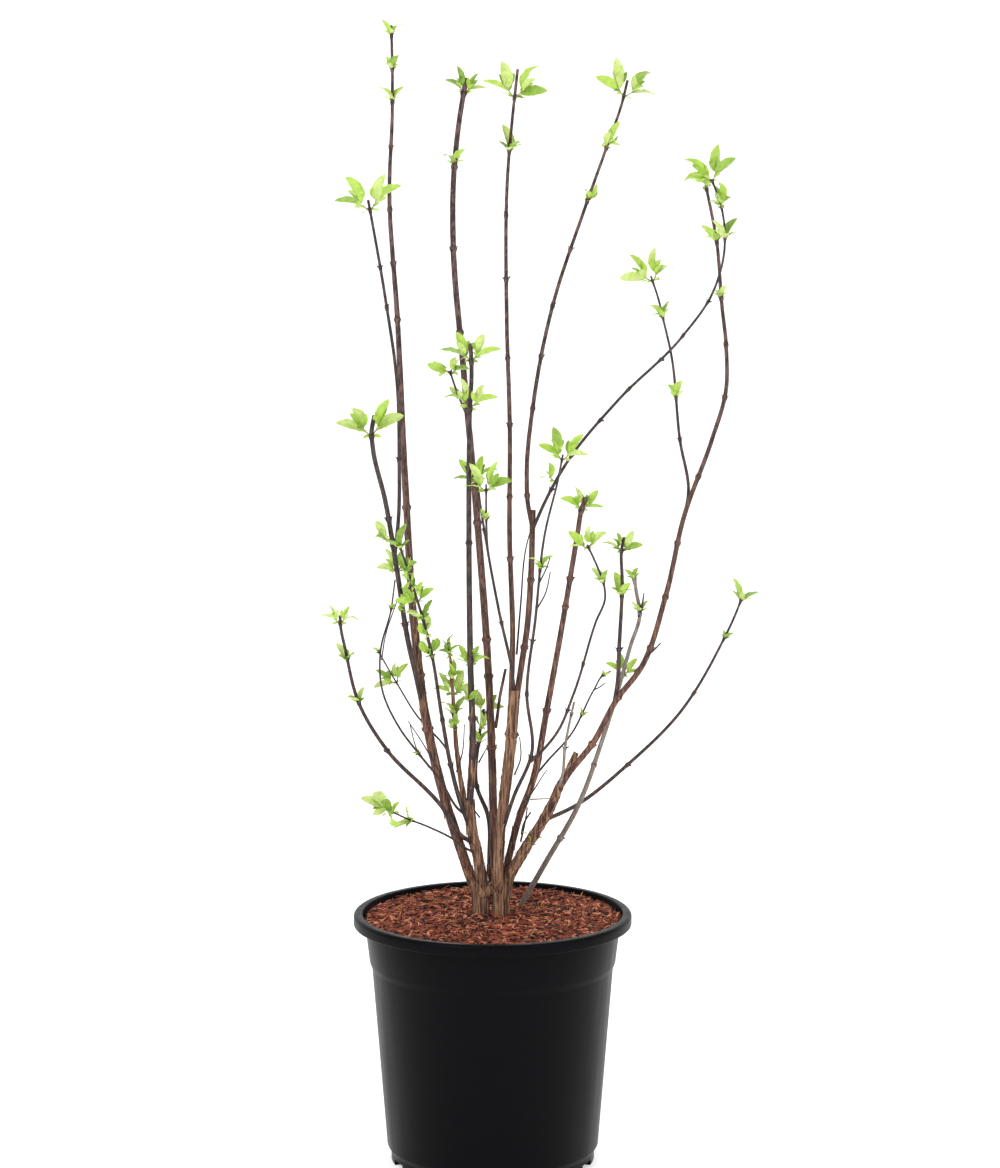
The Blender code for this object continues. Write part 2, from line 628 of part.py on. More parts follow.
def is_free(shape):
    """Whether a leaf or twig keeps clear of everything made so far."""
    bmesh.ops.recalc_face_normals(shape, faces=shape.faces)
    tree = BVHTree.FromBMesh(shape)
    probes = [corner.co for corner in shape.verts] + [face.calc_center_median() for face in shape.faces]
    for other in taken.values():
        if tree.overlap(other) or any(other.find_nearest(probe, CLEARANCE)[0] for probe in probes):
            return False
    return True


def leaf_blade(root, aim, flat, length):
    """A pointed leaf of eight faces: root, tip, two edges, and a ridge on each side."""
    width = length * LEAF_WIDTH_SHARE
    up = (flat - aim * flat.dot(aim)).normalized()
    across = aim.cross(up)
    middle = root + aim * length * LEAF_WIDEST + up * length * LEAF_ARCH
    shape = bmesh.new()
    tail = shape.verts.new(root)
    tip = shape.verts.new(root + aim * length)
    edges = [shape.verts.new(middle + across * width / 2 * side) for side in (-1, 1)]
    ridges = [shape.verts.new(middle - up * (LEAF_THICKNESS * (0.5 - side))) for side in (0, 1)]
    for end in (tail, tip):
        for edge in edges:
            for ridge in ridges:
                shape.faces.new((end, edge, ridge))
    return shape


def add_piece(shape, name, pieces):
    """Keeps a leaf or twig if it is in nobody's way."""
    if is_free(shape):
        pieces.append(as_object(shape, f"{name}_{len(pieces)}"))
        return True
    shape.free()
    return False


def fan_leaves(name, root, lean, along, out, shoot, reach, leaves, pieces, dice):
    """Leaves on a short shoot: one ends it, the others leave its sides in turn."""
    third = along.cross(out)
    hand = dice.choice((-1, 1))
    for place, outward, upward, sideways, share in LEAF_FAN[:leaves]:
        aim = out * outward + along * upward + third * (sideways * hand + dice.uniform(-0.15, 0.15))
        aim = (aim + lean * (1.0 if place == 1.0 else 0.0)).normalized()
        foot = root + lean * (shoot * place) - lean * (LEAF_SINK if place == 1.0 else 0.0)
        face = along - out * 0.4 + third * dice.uniform(-0.5, 0.5)
        length = reach * MM * share * dice.uniform(0.9, 1.1) + LEAF_SINK
        add_piece(leaf_blade(foot, aim, face, length), name, pieces)


def open_bud(name, at, along, out, reach, leaves, pieces, dice):
    """One bud at a node: a single small leaf, or a short shoot with a fan of leaves."""
    if reach < SMALL_TUFT:
        aim = (out * dice.uniform(0.5, 0.8) + along * 0.75).normalized()
        add_piece(leaf_blade(at, aim, along - out * 0.4, reach * MM), name, pieces)
        return
    lean = (along * SHOOT_RISE + out * dice.uniform(0.55, 0.75)).normalized()
    shoot = reach * MM * SHOOT_SHARE
    twig = bar([at, at + lean * shoot], (SHOOT_THICKNESS, SHOOT_THICKNESS * SHOOT_TAPER), 3)
    if add_piece(twig, name, pieces):
        fan_leaves(name, at, lean, along, out, shoot, reach, leaves, pieces, dice)


def open_node(name, at, along, reach, leaves, turn, pieces, dice):
    """The two opposite buds of a node, each a quarter turn from those of the node below."""
    first = RIGHT if turn == 0 else BACK
    out = (first - along * first.dot(along)).normalized()
    out = (out + along.cross(out) * dice.uniform(-0.3, 0.3)).normalized()
    for side in (-1, 1):
        open_bud(name, at, along, out * side, reach, leaves, pieces, dice)


def fuse(stem, pieces):
    """Joins the leaves and twigs to their stem in one solid."""
    if pieces:
        bake(stem, "MANIFOLD", "UNION", pieces)
    keep_main_shell(stem)
    paint(stem, LEAF_GREEN)
    taken[stem.name] = tree_of(stem)


def make_spray(name, row, order):
    """The leafy stretch of a stem: its top, the side twigs and the leaf tufts, fused."""
    if "top" not in row:
        return
    path = stem_path(row)
    far = lengths(path)
    start = split_distance(row, path, far)
    dice = random.Random(SEED + order)
    title = name if start == 0.0 else name + "_top"
    begin = start + GAP if start else 0.0
    stretch = part_of(path, begin, far[-1])
    thick = (thickness_at(row, far, start), thickness_at(row, far, far[-1]))
    stem = as_object(bar(stretch, thick, 5 if thick[0] > 3 * MM else 4, step=30 * MM), title)
    if start == 0.0:
        cut_clear(stem, row["grows_on"])
    pieces = []
    for fork in row.get("forks", ()):
        twig = smooth(fork)
        add_piece(bar(twig, (thick[1] * 0.9, thick[1] * 0.7), 3, step=14 * MM), title, pieces)
    for height, reach, leaves, turn in row["tufts"]:
        at, along = place_at(path, far, distance_at_height(path, far, height * MM))
        open_node(title, at, along, reach, leaves, turn, pieces, dice)
    fuse(stem, pieces)


def make_sprig(name, host, height, way, reach, order):
    """A tuft on the side of an old stem: one short shoot with its fan of leaves."""
    dice = random.Random(SEED * 7 + order)
    path, host_thick, _ = made[host]
    far = lengths(path)
    at, along = place_at(path, far, distance_at_height(path, far, height * MM))
    out = Vector((way[0], way[1], 0)).normalized()
    lean = (out + along * 0.6).normalized()
    shoot = host_thick[0] / 2 + reach * MM * SHOOT_SHARE
    thick = (SHOOT_THICKNESS / SHOOT_TAPER, SHOOT_THICKNESS * SHOOT_TAPER)
    stem = as_object(bar([at, at + lean * shoot], thick, 4), name)
    cut_clear(stem, (host,))
    pieces = []
    fan_leaves(name, at, lean, along, out, shoot, reach, len(LEAF_FAN), pieces, dice)
    fuse(stem, pieces)


clear_scene()
make_pot()
make_mix()
make_crown()
for stem_name, stem_row in STEMS.items():
    make_limb(stem_name, stem_row)
for stem_order, (stem_name, stem_row) in enumerate(STEMS.items()):
    make_spray(stem_name, stem_row, stem_order)
for sprig_order, (sprig_name, sprig) in enumerate(SPRIGS.items()):
    make_sprig(sprig_name, *sprig, sprig_order)
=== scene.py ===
"""The looks of a many-stemmed shrub at bud break in a nursery pot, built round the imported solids.

Bark is wrapped round each stem's middle line. Leaves stand on it in the pairs and fans of the solids, with
finer leaves between them. Loose fibres lie on the potting mix. Lengths are in metres unless they say mm.
"""
import math
import random
from collections import namedtuple

import bmesh
import bpy
from mathutils import Matrix, Vector, noise


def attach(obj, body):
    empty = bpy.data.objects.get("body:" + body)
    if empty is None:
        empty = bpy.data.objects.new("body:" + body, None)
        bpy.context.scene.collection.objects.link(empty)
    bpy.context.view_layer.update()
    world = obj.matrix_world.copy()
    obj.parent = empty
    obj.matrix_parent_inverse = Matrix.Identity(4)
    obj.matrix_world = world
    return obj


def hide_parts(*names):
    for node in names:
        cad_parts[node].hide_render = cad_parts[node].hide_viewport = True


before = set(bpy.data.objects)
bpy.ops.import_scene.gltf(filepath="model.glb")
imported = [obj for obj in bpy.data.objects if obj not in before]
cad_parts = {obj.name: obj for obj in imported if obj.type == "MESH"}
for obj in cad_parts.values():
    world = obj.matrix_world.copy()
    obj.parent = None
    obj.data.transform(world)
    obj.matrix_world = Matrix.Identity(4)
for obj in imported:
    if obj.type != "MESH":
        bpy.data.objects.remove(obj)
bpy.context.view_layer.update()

MM = 0.001
GAP = 0.3 * MM

# The pot, a thin moulded shell: radii and heights
POT_HEIGHT = 255 * MM
LIP_RADIUS = 140 * MM
LIP_DROP = 12 * MM
MOUTH_RADIUS = 131.5 * MM
BAND_TOP_RADIUS = 128 * MM
BAND_FOOT_RADIUS = 124 * MM
BAND_FOOT = 206 * MM
WALL_TOP_RADIUS = 121.5 * MM
WALL_TOP = 199 * MM
WALL_FOOT_RADIUS = 107 * MM
WALL_FOOT = 16 * MM
FOOT_RADIUS = 103 * MM
FOOT_HEIGHT = 11 * MM
WALL = 2.2 * MM
FLOOR = 3 * MM
FOOT_RING_FLOOR = 9 * MM
FOOT_RING_RADIUS = 86 * MM
POT_SIDES = 144
NOTCHES = 8
NOTCH_WIDTH = 22 * MM
NOTCH_HEIGHT = 6 * MM
POT_SHARP_ANGLE = 35

# The potting mix, its bumps, and the loose fibres on it
MIX_TOP = 249 * MM
MIX_EDGE = 248.5 * MM
MIX_EDGE_RADIUS = 128.5 * MM
MIX_LEVEL_RADIUS = 70 * MM
MIX_SHOULDER = 238 * MM
MIX_RINGS = 22
MIX_BUMPS = 3 * MM
BUMPS_PER_METRE = 90
MIX_SIDES = 96
FIBRE_MARGIN = 1.5 * MM
FIBRE_LIFT = 1 * MM
FIBRE_FIELD_SIDES = 64
FIBRE_FIELD_CUTS = 10
FIBRES_PER_SQUARE_METRE = 140000
# Shares of the fibre colours: red-brown, pale with painted highlights, dark with painted shade
FIBRE_SHADES = (("fibre_mid", 0.5), ("fibre_light", 0.2), ("fibre_dark", 0.3))
FIBRE_TILT = (0.6, 0.55)
FIBRE_SIZES = (0.45, 1.3)
GROUND = MIX_TOP + GAP

# Chips, flakes, splinters and threads of shredded bark: length, width, thickness and bend in millimetres
FIBRE_KINDS = (
    ("fibre_a_chip", 7.92, 2.45, 0.94, 0.58),
    ("fibre_b_flake", 5.04, 3.02, 0.72, -0.36),
    ("fibre_c_splinter", 10.8, 1.22, 0.79, 1.15),
    ("fibre_d_thread", 13.68, 0.58, 0.5, 1.73),
)

# Stems: how finely a line is drawn, how a node swells, how the bark stands up
STEM_STEP = 1.6 * MM
STEM_SIDES = 12
NODE_SWELL = 0.42
NODE_SPREAD = 1.9 * MM
FORK_SHARE = 0.9
FORK_TIP = 1.1
ROOT_FLARE = 1.25
GRAIN_STRETCH = 0.12

# Leaves, the green shoots that carry them, and bud scales
LEAF_WIDTH_SHARE = 0.42
LEAF_SINK = 2 * MM
LEAF_SWAY = 0.15
LEAF_TILT = (0.5, 1.1)
LEAF_UNEVEN = (0.9, 1.1)
SHOOT_SHARE = 0.34
SHOOT_THICKNESS = 1.5 * MM
SHOOT_TAPER = (1.0, 0.8, 0.6)
SHOOT_SIDES = 6
SHOOT_RISE = 0.75
SMALL_TUFT = 20
SMALL_LEAF_SHARE = 1.45
SMALL_BRACT_SHARE = 0.8
SMALL_LEAF_OUT = (0.5, 0.8)
SMALL_SWING = (0.5, 0.9)
BRACT_SPREAD = (-0.8, 0.7)
FAN_SWING = (-0.3, 0.3)
SHOOT_OUT = (0.55, 0.75)
BUD_SPREAD = (-0.5, 0.0, 0.5)
BUD_LENGTH = (3.0 * MM, 4.6 * MM)
BUD_HABIT = 2

# Each habit of leaf: its name, arch, cup, curl at the tip, and wave of the edge
LEAF_HABITS = (
    ("leaf_a_spread", 0.06, 0.1, 0.25, 0.04),
    ("leaf_b_arched", 0.12, 0.16, 0.9, 0.05),
    ("leaf_c_cupped", 0.02, 0.26, 0.1, 0.03),
    ("leaf_d_folded", 0.08, 0.42, -0.4, 0.03),
)

# The fan on a bud's shoot, a little flatter than in the solids, and the finer leaves that they leave out:
# place along the shoot, how far the leaf points out, up and sideways, and its share of the tuft's reach
LEAF_FAN = (
    (1.0, 0.1, 0.35, 0.2, 0.42),
    (0.62, 1.0, 0.3, 0.15, 0.7),
    (0.84, 0.36, 0.95, -0.15, 0.72),
    (0.66, 0.45, 0.35, -0.9, 0.42),
    (0.88, 0.4, 0.6, 0.85, 0.4),
)
FINE_FAN = (
    (0.95, -0.3, 0.9, -0.35, 0.36),
    (0.35, 0.9, 0.1, 0.6, 0.22),
    (0.15, 0.9, -0.2, -0.4, 0.16),
)
# Shares of the three greens, dealt to the leaves at random: painted sunlight, the middle green, painted
# shade
GREEN_SHARES = {"leaf_pale": 0.3, "leaf_bright": 0.48, "leaf_deep": 0.22}
SEED = 11

RIGHT = Vector((1, 0, 0))
BACK = Vector((0, 1, 0))

# The crown's two feet on the mix: right, back, radius, in millimetres
LEFT_FOOT = (-9, 10, 5.4)
RIGHT_FOOT = (7, 9, 8.2)
FOOT_SUNK = 6 * MM
FOOT_SPREAD = 0.2
CROWN_BOW = 3 * MM
CROWN_COLLAR = 8 * MM
KNUCKLE = ((-13, 8, 270), (-3, 9, 276), (9, 8, 279))
KNUCKLE_THICK = 14

OLD_BARK = "old_bark"
RED_BARK = "red_bark"
DARK_BARK = "dark_bark"
GREY_BARK = "grey_bark"

# How high each bark's grain stands, and how fine it is per metre
RELIEF = {
    OLD_BARK: (2.0 * MM, 520.0),
    RED_BARK: (0.45 * MM, 600.0),
    DARK_BARK: (0.24 * MM, 700.0),
    GREY_BARK: (0.4 * MM, 600.0),
}

# Between these heights the wood of a stem turns young, up to this share
YOUNG_FROM = 420 * MM
YOUNG_TO = 850 * MM
YOUNG_SHARE = 0.85

# Wood: the colours of its grain as (place, colour), streaks per metre, how far they are drawn out,
# roughness, strength of the bump, and the colours of the grain where it is young
STREAK_ROUGHNESS = 0.62
WOOD_LOOKS = {
    # Old stems: tan-brown bark that splits into long fibres, dry and quite dull
    OLD_BARK: (((0.38, "#2f1f18"), (0.47, "#755240"), (0.62, "#aa8668")), 430.0, 0.05, 0.92, 1.0),
    # Canes: tight red-brown bark with a faint sheen, dark and speckled towards the tip
    RED_BARK: (
        ((0.38, "#2c1914"), (0.5, "#593529"), (0.62, "#88604b")), 480.0, 0.07, 0.62, 0.6,
        ((0.42, "#0f0a0b"), (0.49, "#312021"), (0.57, "#664c47"))),
    # Thin canes: smooth bark, nearly black with a purple tinge
    DARK_BARK: (
        ((0.38, "#1a1212"), (0.5, "#332422"), (0.62, "#5a4037")), 520.0, 0.07, 0.6, 0.5,
        ((0.42, "#0c090a"), (0.49, "#241a1c"), (0.57, "#50403f"))),
    # Weathered wood: pale grey, dry and dull
    GREY_BARK: (((0.3, "#5f554c"), (0.55, "#8b8078"), (0.75, "#aea296")), 800.0, 0.1, 0.75, 0.5),
    # New shoots: soft and yellow-green
    "shoot_green": (((0.3, "#77763c"), (0.7, "#9aa552")), 900.0, 0.1, 0.6, 0.2),
    # Bud scales: thin, brown and papery
    "bud_brown": (((0.3, "#2a1b17"), (0.7, "#5c402e")), 1200.0, 0.3, 0.7, 0.4),
}

# Young leaves, yellowest green to fullest, with painted sunlight and painted shade: the blade and its veins
LEAF_LOOKS = {
    # A paler copy of the middle green, with painted sunlight
    "leaf_pale": ("#cfe08c", "#b2cb68"),
    "leaf_bright": ("#b9d65c", "#9fc448"),
    # A deeper copy of the middle green, with painted shade
    "leaf_deep": ("#9bbd4c", "#7ea03a"),
}

# Shredded bark: the bed, then red-brown, pale and dark fibres, each from dark to light
FIBRE_LOOKS = {
    # The moist bed, darkened further as painted shade in the gaps between the fibres
    "mix_bed": ("#1a0a07", "#4c2218"),
    "fibre_mid": ("#64281a", "#a8543a"),
    # Pale, sun-dried fibres, brightened further as painted highlights
    "fibre_light": ("#b0603f", "#e09c70"),
    # Dark fibres, darkened further as painted shade in the gaps
    "fibre_dark": ("#160806", "#3f1a12"),
}

# A stem: the places (right, back, up) that its middle passes, in millimetres from foot to tip; how thick it
# is at both ends; its bark; the heights of its bare node rings; its leaf tufts as (height, reach, leaves to
# a bud, quarter turns); tufts too crowded for the solids; its forks; and the foot of the crown that carries
# it. A stem without a foot starts on another stem or in the mix.
Stem = namedtuple(
    "Stem", "line thick bark rings tufts crowded forks foot", defaults=(DARK_BARK, (), (), (), (), None))
STEMS = {
    "trunk_left": Stem(
        ((-13, 5, 298), (-16, 3, 316), (-20, 2, 334), (-24, 0, 370)), (11, 10.5), OLD_BARK, foot=LEFT_FOOT),
    "trunk_centre": Stem(
        ((6, -3, 298), (7, -3, 333), (12, -3, 375), (19, -4, 437), (22, -4, 482)), (10.5, 11), OLD_BARK,
        rings=(437,), foot=RIGHT_FOOT),
    "trunk_right": Stem(
        ((21, 4, 298), (34, 3, 321), (53, 0, 352), (67, -4, 384)), (11, 8.8), OLD_BARK,
        crowded=((322, 13, 2, 0),), foot=RIGHT_FOOT),
    "cane_left_tall": Stem(
        ((-26, 13, 298), (-45, 12, 357), (-65, 10, 440), (-77, 18, 529), (-87, 36, 678), (-95, 56, 847),
         (-103, 72, 975), (-100, 80, 1054), (-100, 85, 1094), (-101, 90, 1138)), (10.5, 2.6), RED_BARK,
        rings=(440, 493, 659, 847, 902, 956, 1017),
        tufts=((1062, 15, 2, 0), (1094, 13, 2, 1), (1126, 14, 2, 0)), foot=LEFT_FOOT),
    "cane_tall_brown": Stem(
        ((2, 12, 298), (0, 15, 384), (-4, 26, 491), (-16, 62, 650), (-30, 96, 799), (-40, 122, 915),
         (-40, 138, 982), (-34, 152, 1045), (-27, 162, 1087)), (8.4, 5.2), RED_BARK,
        rings=(419, 491, 527, 642, 758, 831, 915), tufts=((996, 16, 2, 1), (1070, 26, 3, 0)),
        foot=RIGHT_FOOT),
    "cane_dark_inner": Stem(
        ((-3, 25, 298), (-5, 26, 349), (-16, 31, 377), (-14, 40, 423), (-9, 46, 454)), (5.4, 2.8),
        rings=(377,), tufts=((418, 14, 2, 0), (449, 24, 3, 0)), crowded=((432, 22, 2, 1),),
        foot=RIGHT_FOOT),
    "cane_stub_thick": Stem(
        ((14, 14, 298), (26, 14, 346), (41, 11, 389), (54, 1, 460), (72, -18, 568), (84, -32, 646),
         (87, -37, 666), (91, -40, 679)), (7.4, 4.8), RED_BARK, rings=(460, 568, 595),
        tufts=((665, 25, 3, 0),), foot=RIGHT_FOOT),
    "cane_front_stub": Stem(
        ((-23, -1, 364), (-20, -6, 416), (-22, -18, 515), (-23, -38, 634), (-22, -66, 757), (-20, -78, 814),
         (-21, -80, 832)), (7.2, 4), rings=(453, 634, 708), tufts=((768, 30, 2, 0), (813, 33, 3, 0)),
        crowded=((508, 23, 2, 0), (470, 15, 2, 1))),
    "cane_left_forked": Stem(
        ((-70, 14, 462), (-76, 2, 494), (-83, -6, 527), (-95, -20, 610), (-105, -36, 676), (-116, -54, 729),
         (-117, -58, 745), (-114, -62, 761)), (5.6, 4.4), rings=(548, 630, 655), tufts=((740, 42, 3, 0),),
        crowded=((562, 22, 2, 1), (602, 24, 2, 0))),
    "cane_left_slim": Stem(
        ((-96, -24, 620), (-92, -30, 660), (-91, -38, 716), (-92, -56, 790), (-102, -78, 873),
         (-113, -102, 945), (-117, -109, 969)), (4, 2.6), rings=(716, 865, 904), tufts=((958, 39, 3, 0),)),
    "cane_left_thin": Stem(
        ((-23, -1, 342), (-32, -3, 367), (-42, 1, 405), (-50, -6, 452), (-61, -24, 526), (-78, -50, 594),
         (-87, -62, 625), (-91, -66, 637)), (5, 2), rings=(405, 452),
        tufts=((518, 24, 2, 1), (556, 16, 2, 0), (590, 22, 2, 1), (630, 18, 2, 0)),
        crowded=((538, 23, 2, 1), (574, 24, 2, 0), (604, 22, 2, 1))),
    "cane_far_left": Stem(
        ((-19, 2, 325), (-30, -9, 334), (-51, -18, 367), (-103, -50, 429), (-129, -80, 480),
         (-141, -114, 540), (-145, -130, 569), (-145, -133, 576)), (4.6, 3), rings=(429,),
        tufts=((482, 12, 2, 0), (530, 13, 2, 1), (567, 22, 3, 0))),
    "cane_centre_tall": Stem(
        ((18.5, -2, 474), (20, 2, 531), (17, 2, 632), (17, -6, 747), (14, -26, 851), (15, -74, 997),
         (21, -98, 1064), (24, -108, 1091)), (5.8, 2.8), RED_BARK, rings=(612, 675, 747, 812, 891, 953),
        tufts=((1014, 18, 2, 1), (1064, 38, 3, 0))),
    "cane_right_head": Stem(
        ((24, -5, 474), (29, -1, 508), (34, 3, 540), (38, 8, 591), (40, 10, 661)), (6.4, 6), RED_BARK,
        rings=(523, 591)),
    "cane_right_tall": Stem(
        ((39, 11, 646), (35, 15, 668), (34, 19, 695), (41, 32, 768), (60, 56, 861), (91, 80, 953),
         (114, 98, 1016), (131, 114, 1064), (136, 120, 1084)), (4.8, 2.8), RED_BARK,
        rings=(673, 759, 810, 861, 916), tufts=((963, 20, 2, 1), (1016, 28, 3, 1), (1066, 40, 3, 0))),
    "cane_right_arching": Stem(
        ((41, 8, 644), (48, 5, 661), (72, -8, 708), (123, -32, 774), (183, -66, 838), (211, -80, 881),
         (221, -88, 921), (218, -88, 961), (209, -84, 987)), (3.4, 2),
        rings=(681, 716, 752, 783, 814, 838, 871),
        tufts=((930, 18, 2, 0), (960, 25, 3, 1), (984, 34, 3, 0))),
    "cane_inner_thin": Stem(
        ((22, -2, 478), (19, -13, 505), (8, -18, 556), (-1, -22, 603), (-12, -32, 672), (-15, -34, 693),
         (-20, -35, 713)), (3.4, 2.2), rings=(551, 643), tufts=((693, 27, 2, 0),)),
    "cane_centre_thin": Stem(
        ((8, -2, 331), (21, -12, 375), (39, -18, 421), (34, -24, 481), (42, -38, 557), (52, -60, 651),
         (63, -73, 698), (68, -80, 725)), (4, 1.9), rings=(415, 481, 534),
        tufts=((608, 14, 2, 0), (718, 32, 3, 0)),
        forks=(((43, -40, 568), (52, -32, 583), (57, -26, 604)),
               ((46, -46, 596), (53, -54, 612), (56, -60, 622)))),
    "cane_kinked": Stem(
        ((38, -18, 412), (46, -20, 420), (63, -23, 441), (80, -33, 483), (101, -50, 557), (110, -58, 584),
         (109, -60, 594), (102, -62, 614), (92, -68, 636)), (3, 2), rings=(465, 512),
        tufts=((596, 14, 2, 1), (631, 25, 3, 0))),
    "cane_far_right": Stem(
        ((65, -3, 379), (76, -7, 398), (99, -10, 428), (125, -16, 477), (146, -18, 505), (171, -14, 577),
         (190, 0, 657), (217, 8, 731), (231, 15, 780), (231, 21, 824), (227, 28, 863), (222, 37, 924),
         (211, 44, 981)), (6.6, 3), RED_BARK, rings=(428, 477, 526, 577, 629, 694, 772, 824),
        tufts=((868, 12, 2, 1), (924, 18, 2, 0), (976, 34, 3, 1))),
    "cane_right_short": Stem(
        ((121, -14, 470), (124, -19, 492), (125, -26, 526), (127, -44, 600), (126, -49, 627),
         (128, -52, 641)), (4.6, 3), rings=(526,), tufts=((580, 18, 2, 1), (626, 23, 3, 0))),
    "cane_right_inner": Stem(
        ((188, -1, 650), (194, 7, 676), (186, 20, 730), (177, 42, 818), (171, 49, 844), (165, 54, 869),
         (158, 60, 890)), (3.4, 2), rings=(730,),
        tufts=((770, 15, 2, 1), (848, 15, 2, 0), (884, 36, 3, 0))),
    "cane_pale": Stem(
        ((28, 46, 249), (55, 38, 299), (86, 24, 358), (110, 13, 428), (125, 9, 478), (137, 10, 522),
         (147, 14, 558), (144, 16, 575), (141, 18, 593)), (6, 3.6), GREY_BARK, rings=(323, 402),
        tufts=((494, 22, 2, 0), (556, 12, 2, 0), (589, 12, 2, 1)),
        forks=(((146, 13, 553), (149, 12, 564), (151, 11, 578)),)),
    "cane_right_low": Stem(
        ((52, 1, 349), (66, 14, 352), (89, 42, 358), (138, 78, 390), (193, 104, 440), (237, 126, 509),
         (251, 134, 537), (259, 140, 556)), (4.4, 2.4), rings=(390, 457),
        tufts=((512, 9, 2, 1), (550, 19, 3, 0))),
    "cane_left_stub": Stem(
        ((-27, 3, 360), (-33, 5, 396), (-36, 5, 420), (-39, 4, 465), (-41, 2, 499), (-44, 0, 529)),
        (5.6, 2.8), OLD_BARK, tufts=((455, 17, 2, 0), (490, 20, 3, 1)),
        crowded=((440, 22, 2, 1), (474, 26, 3, 0), (514, 24, 3, 1))),
    "twig_stub_right": Stem(
        ((66, -4, 381), (70, -10, 398), (72, -13, 424), (77, -18, 454), (81, -21, 473)), (3.4, 2.2),
        GREY_BARK, rings=(424, 458)),
    "twig_right_low": Stem(
        ((43, 12, 392), (54, 15, 405), (78, 22, 431), (102, 32, 476), (111, 36, 490), (119, 38, 494)),
        (2.4, 1.6), tufts=((450, 7, 1, 0), (488, 7, 1, 1)),
        forks=(((102, 32, 476), (108, 26, 480), (113, 22, 485)),)),
    "twig_far_left": Stem(
        ((-24, 0, 352), (-34, -5, 361), (-52, -4, 390), (-73, 3, 415), (-93, 12, 440), (-111, 26, 477),
         (-113, 44, 515), (-103, 58, 553), (-99, 68, 583)), (2.8, 1.6),
        tufts=((415, 6, 1, 0), (553, 7, 1, 1)),
        forks=(((-64, 0, 403), (-76, -8, 424), (-82, -12, 448)),
               ((-112, 40, 505), (-108, 36, 530), (-96, 36, 566)))),
    "twig_left_back": Stem(
        ((-46, 2, 421), (-52, 12, 427), (-60, 20, 434), (-72, 28, 445), (-97, 48, 480), (-117, 63, 512)),
        (2.2, 1.5), tufts=((480, 24, 3, 0), (508, 7, 1, 0))),
    "twig_low_left": Stem(
        ((-17, 1, 315), (-27, -8, 322), (-40, -14, 333), (-62, -22, 346), (-88, -38, 360),
         (-103, -50, 370)), (2.6, 1.6), tufts=((355, 14, 2, 0), (366, 36, 3, 1))),
    "twig_centre_front": Stem(
        ((-3, -24, 614), (-5, -40, 632), (-6, -49, 658), (-6, -60, 694)), (2.6, 1.8),
        tufts=((657, 9, 1, 1), (686, 30, 3, 0))),
    "twig_tall_side": Stem(
        ((-26, 84, 748), (-31, 66, 762), (-37, 40, 780), (-42, 24, 797)), (2.8, 2),
        tufts=((770, 10, 1, 1), (794, 26, 3, 0))),
}

# Stems that are one solid of bare wood, and sprays that are one leafy solid. Any other stem is both
BARE_STEMS = ("trunk_left", "trunk_centre", "trunk_right", "cane_right_head", "twig_stub_right")
SPRAYS = (
    "cane_left_stub", "twig_right_low", "twig_far_left", "twig_left_back", "twig_low_left",
    "twig_centre_front", "twig_tall_side")

# Tufts that stand straight on an old stem: the stem, the height, the way out (right, back), the reach
SPRIGS = {
    "leaves_left_middle": ("cane_left_forked", 632, (-0.8, -0.6), 26),
    "leaves_left_low": ("cane_left_forked", 572, (0.7, -0.7), 24),
    "leaves_front_back": ("cane_front_stub", 506, (0.3, 0.95), 22),
    "leaves_arching_foot": ("cane_right_arching", 690, (-0.8, -0.3), 22),
}

# Twigs too fine for the solids
FINE_TWIGS = (
    Stem(((24, 6, 516), (28, 13, 565), (34, 18, 625), (38, 20, 640)), (2.2, 1.2)),
    Stem(((22, -4, 396), (28, -9, 414), (27, -10, 436)), (1.8, 1.1)),
    Stem(((34, -8, 372), (42, -14, 384), (50, -18, 398), (54, -19, 404)), (1.8, 1.0)),
    Stem(((38, -4, 371), (46, -7, 372), (57, -9, 373)), (1.6, 1.0), GREY_BARK),
    Stem(((29, 4, 334), (32, -4, 348), (38, -9, 359)), (2.4, 1.6)),
    Stem(((28, 3, 326), (32, 8, 342), (35, 10, 360)), (2.2, 1.3)),
    Stem(((64, 2, 380), (74, 7, 396), (84, 10, 416)), (6.2, 5.8), OLD_BARK),
    Stem(((3, 28, 438), (5, 26, 452), (7, 24, 468), (13, 22, 499)), (3.6, 3.0), RED_BARK),
    Stem(((-13, 26, 346), (-20, 24, 356), (-24, 22, 361)), (1.8, 1.1)),
    Stem(((-14, 30, 402), (-9, 26, 412), (-6, 24, 418)), (1.8, 1.0)),
    Stem(((-50, 2, 394), (-58, -6, 408), (-70, -10, 430), (-84, -12, 452)), (1.8, 1.0)),
    Stem(((-36, 0, 398), (-30, -6, 420), (-28, -8, 448)), (1.8, 1.0)),
    Stem(((150, -19, 516), (160, -24, 526), (166, -27, 533)), (2.0, 1.4)),
    Stem(((156, -17, 522), (148, -22, 512), (140, -26, 504)), (1.8, 1.2)),
)

# Bark that peels from the old wood in narrow strips: stem, how many, up to what height in millimetres
PEELING = (("crown", 150, 330), ("trunk_left", 60, 370), ("trunk_centre", 90, 480), ("trunk_right", 64, 384),
           ("cane_left_tall", 46, 560), ("cane_tall_brown", 34, 470), ("cane_stub_thick", 26, 420),
           ("cane_front_stub", 20, 470))
STRIP_STATIONS = 6
STRIP_WIDTH = (0.9 * MM, 2.3 * MM)
STRIP_LENGTH = (9 * MM, 34 * MM)
STRIP_GAP = 0.25 * MM
STRIP_LIFT = 2.8 * MM
STRIP_TWIST = 0.5
STRIPS_FREE_ABOVE = 0.6

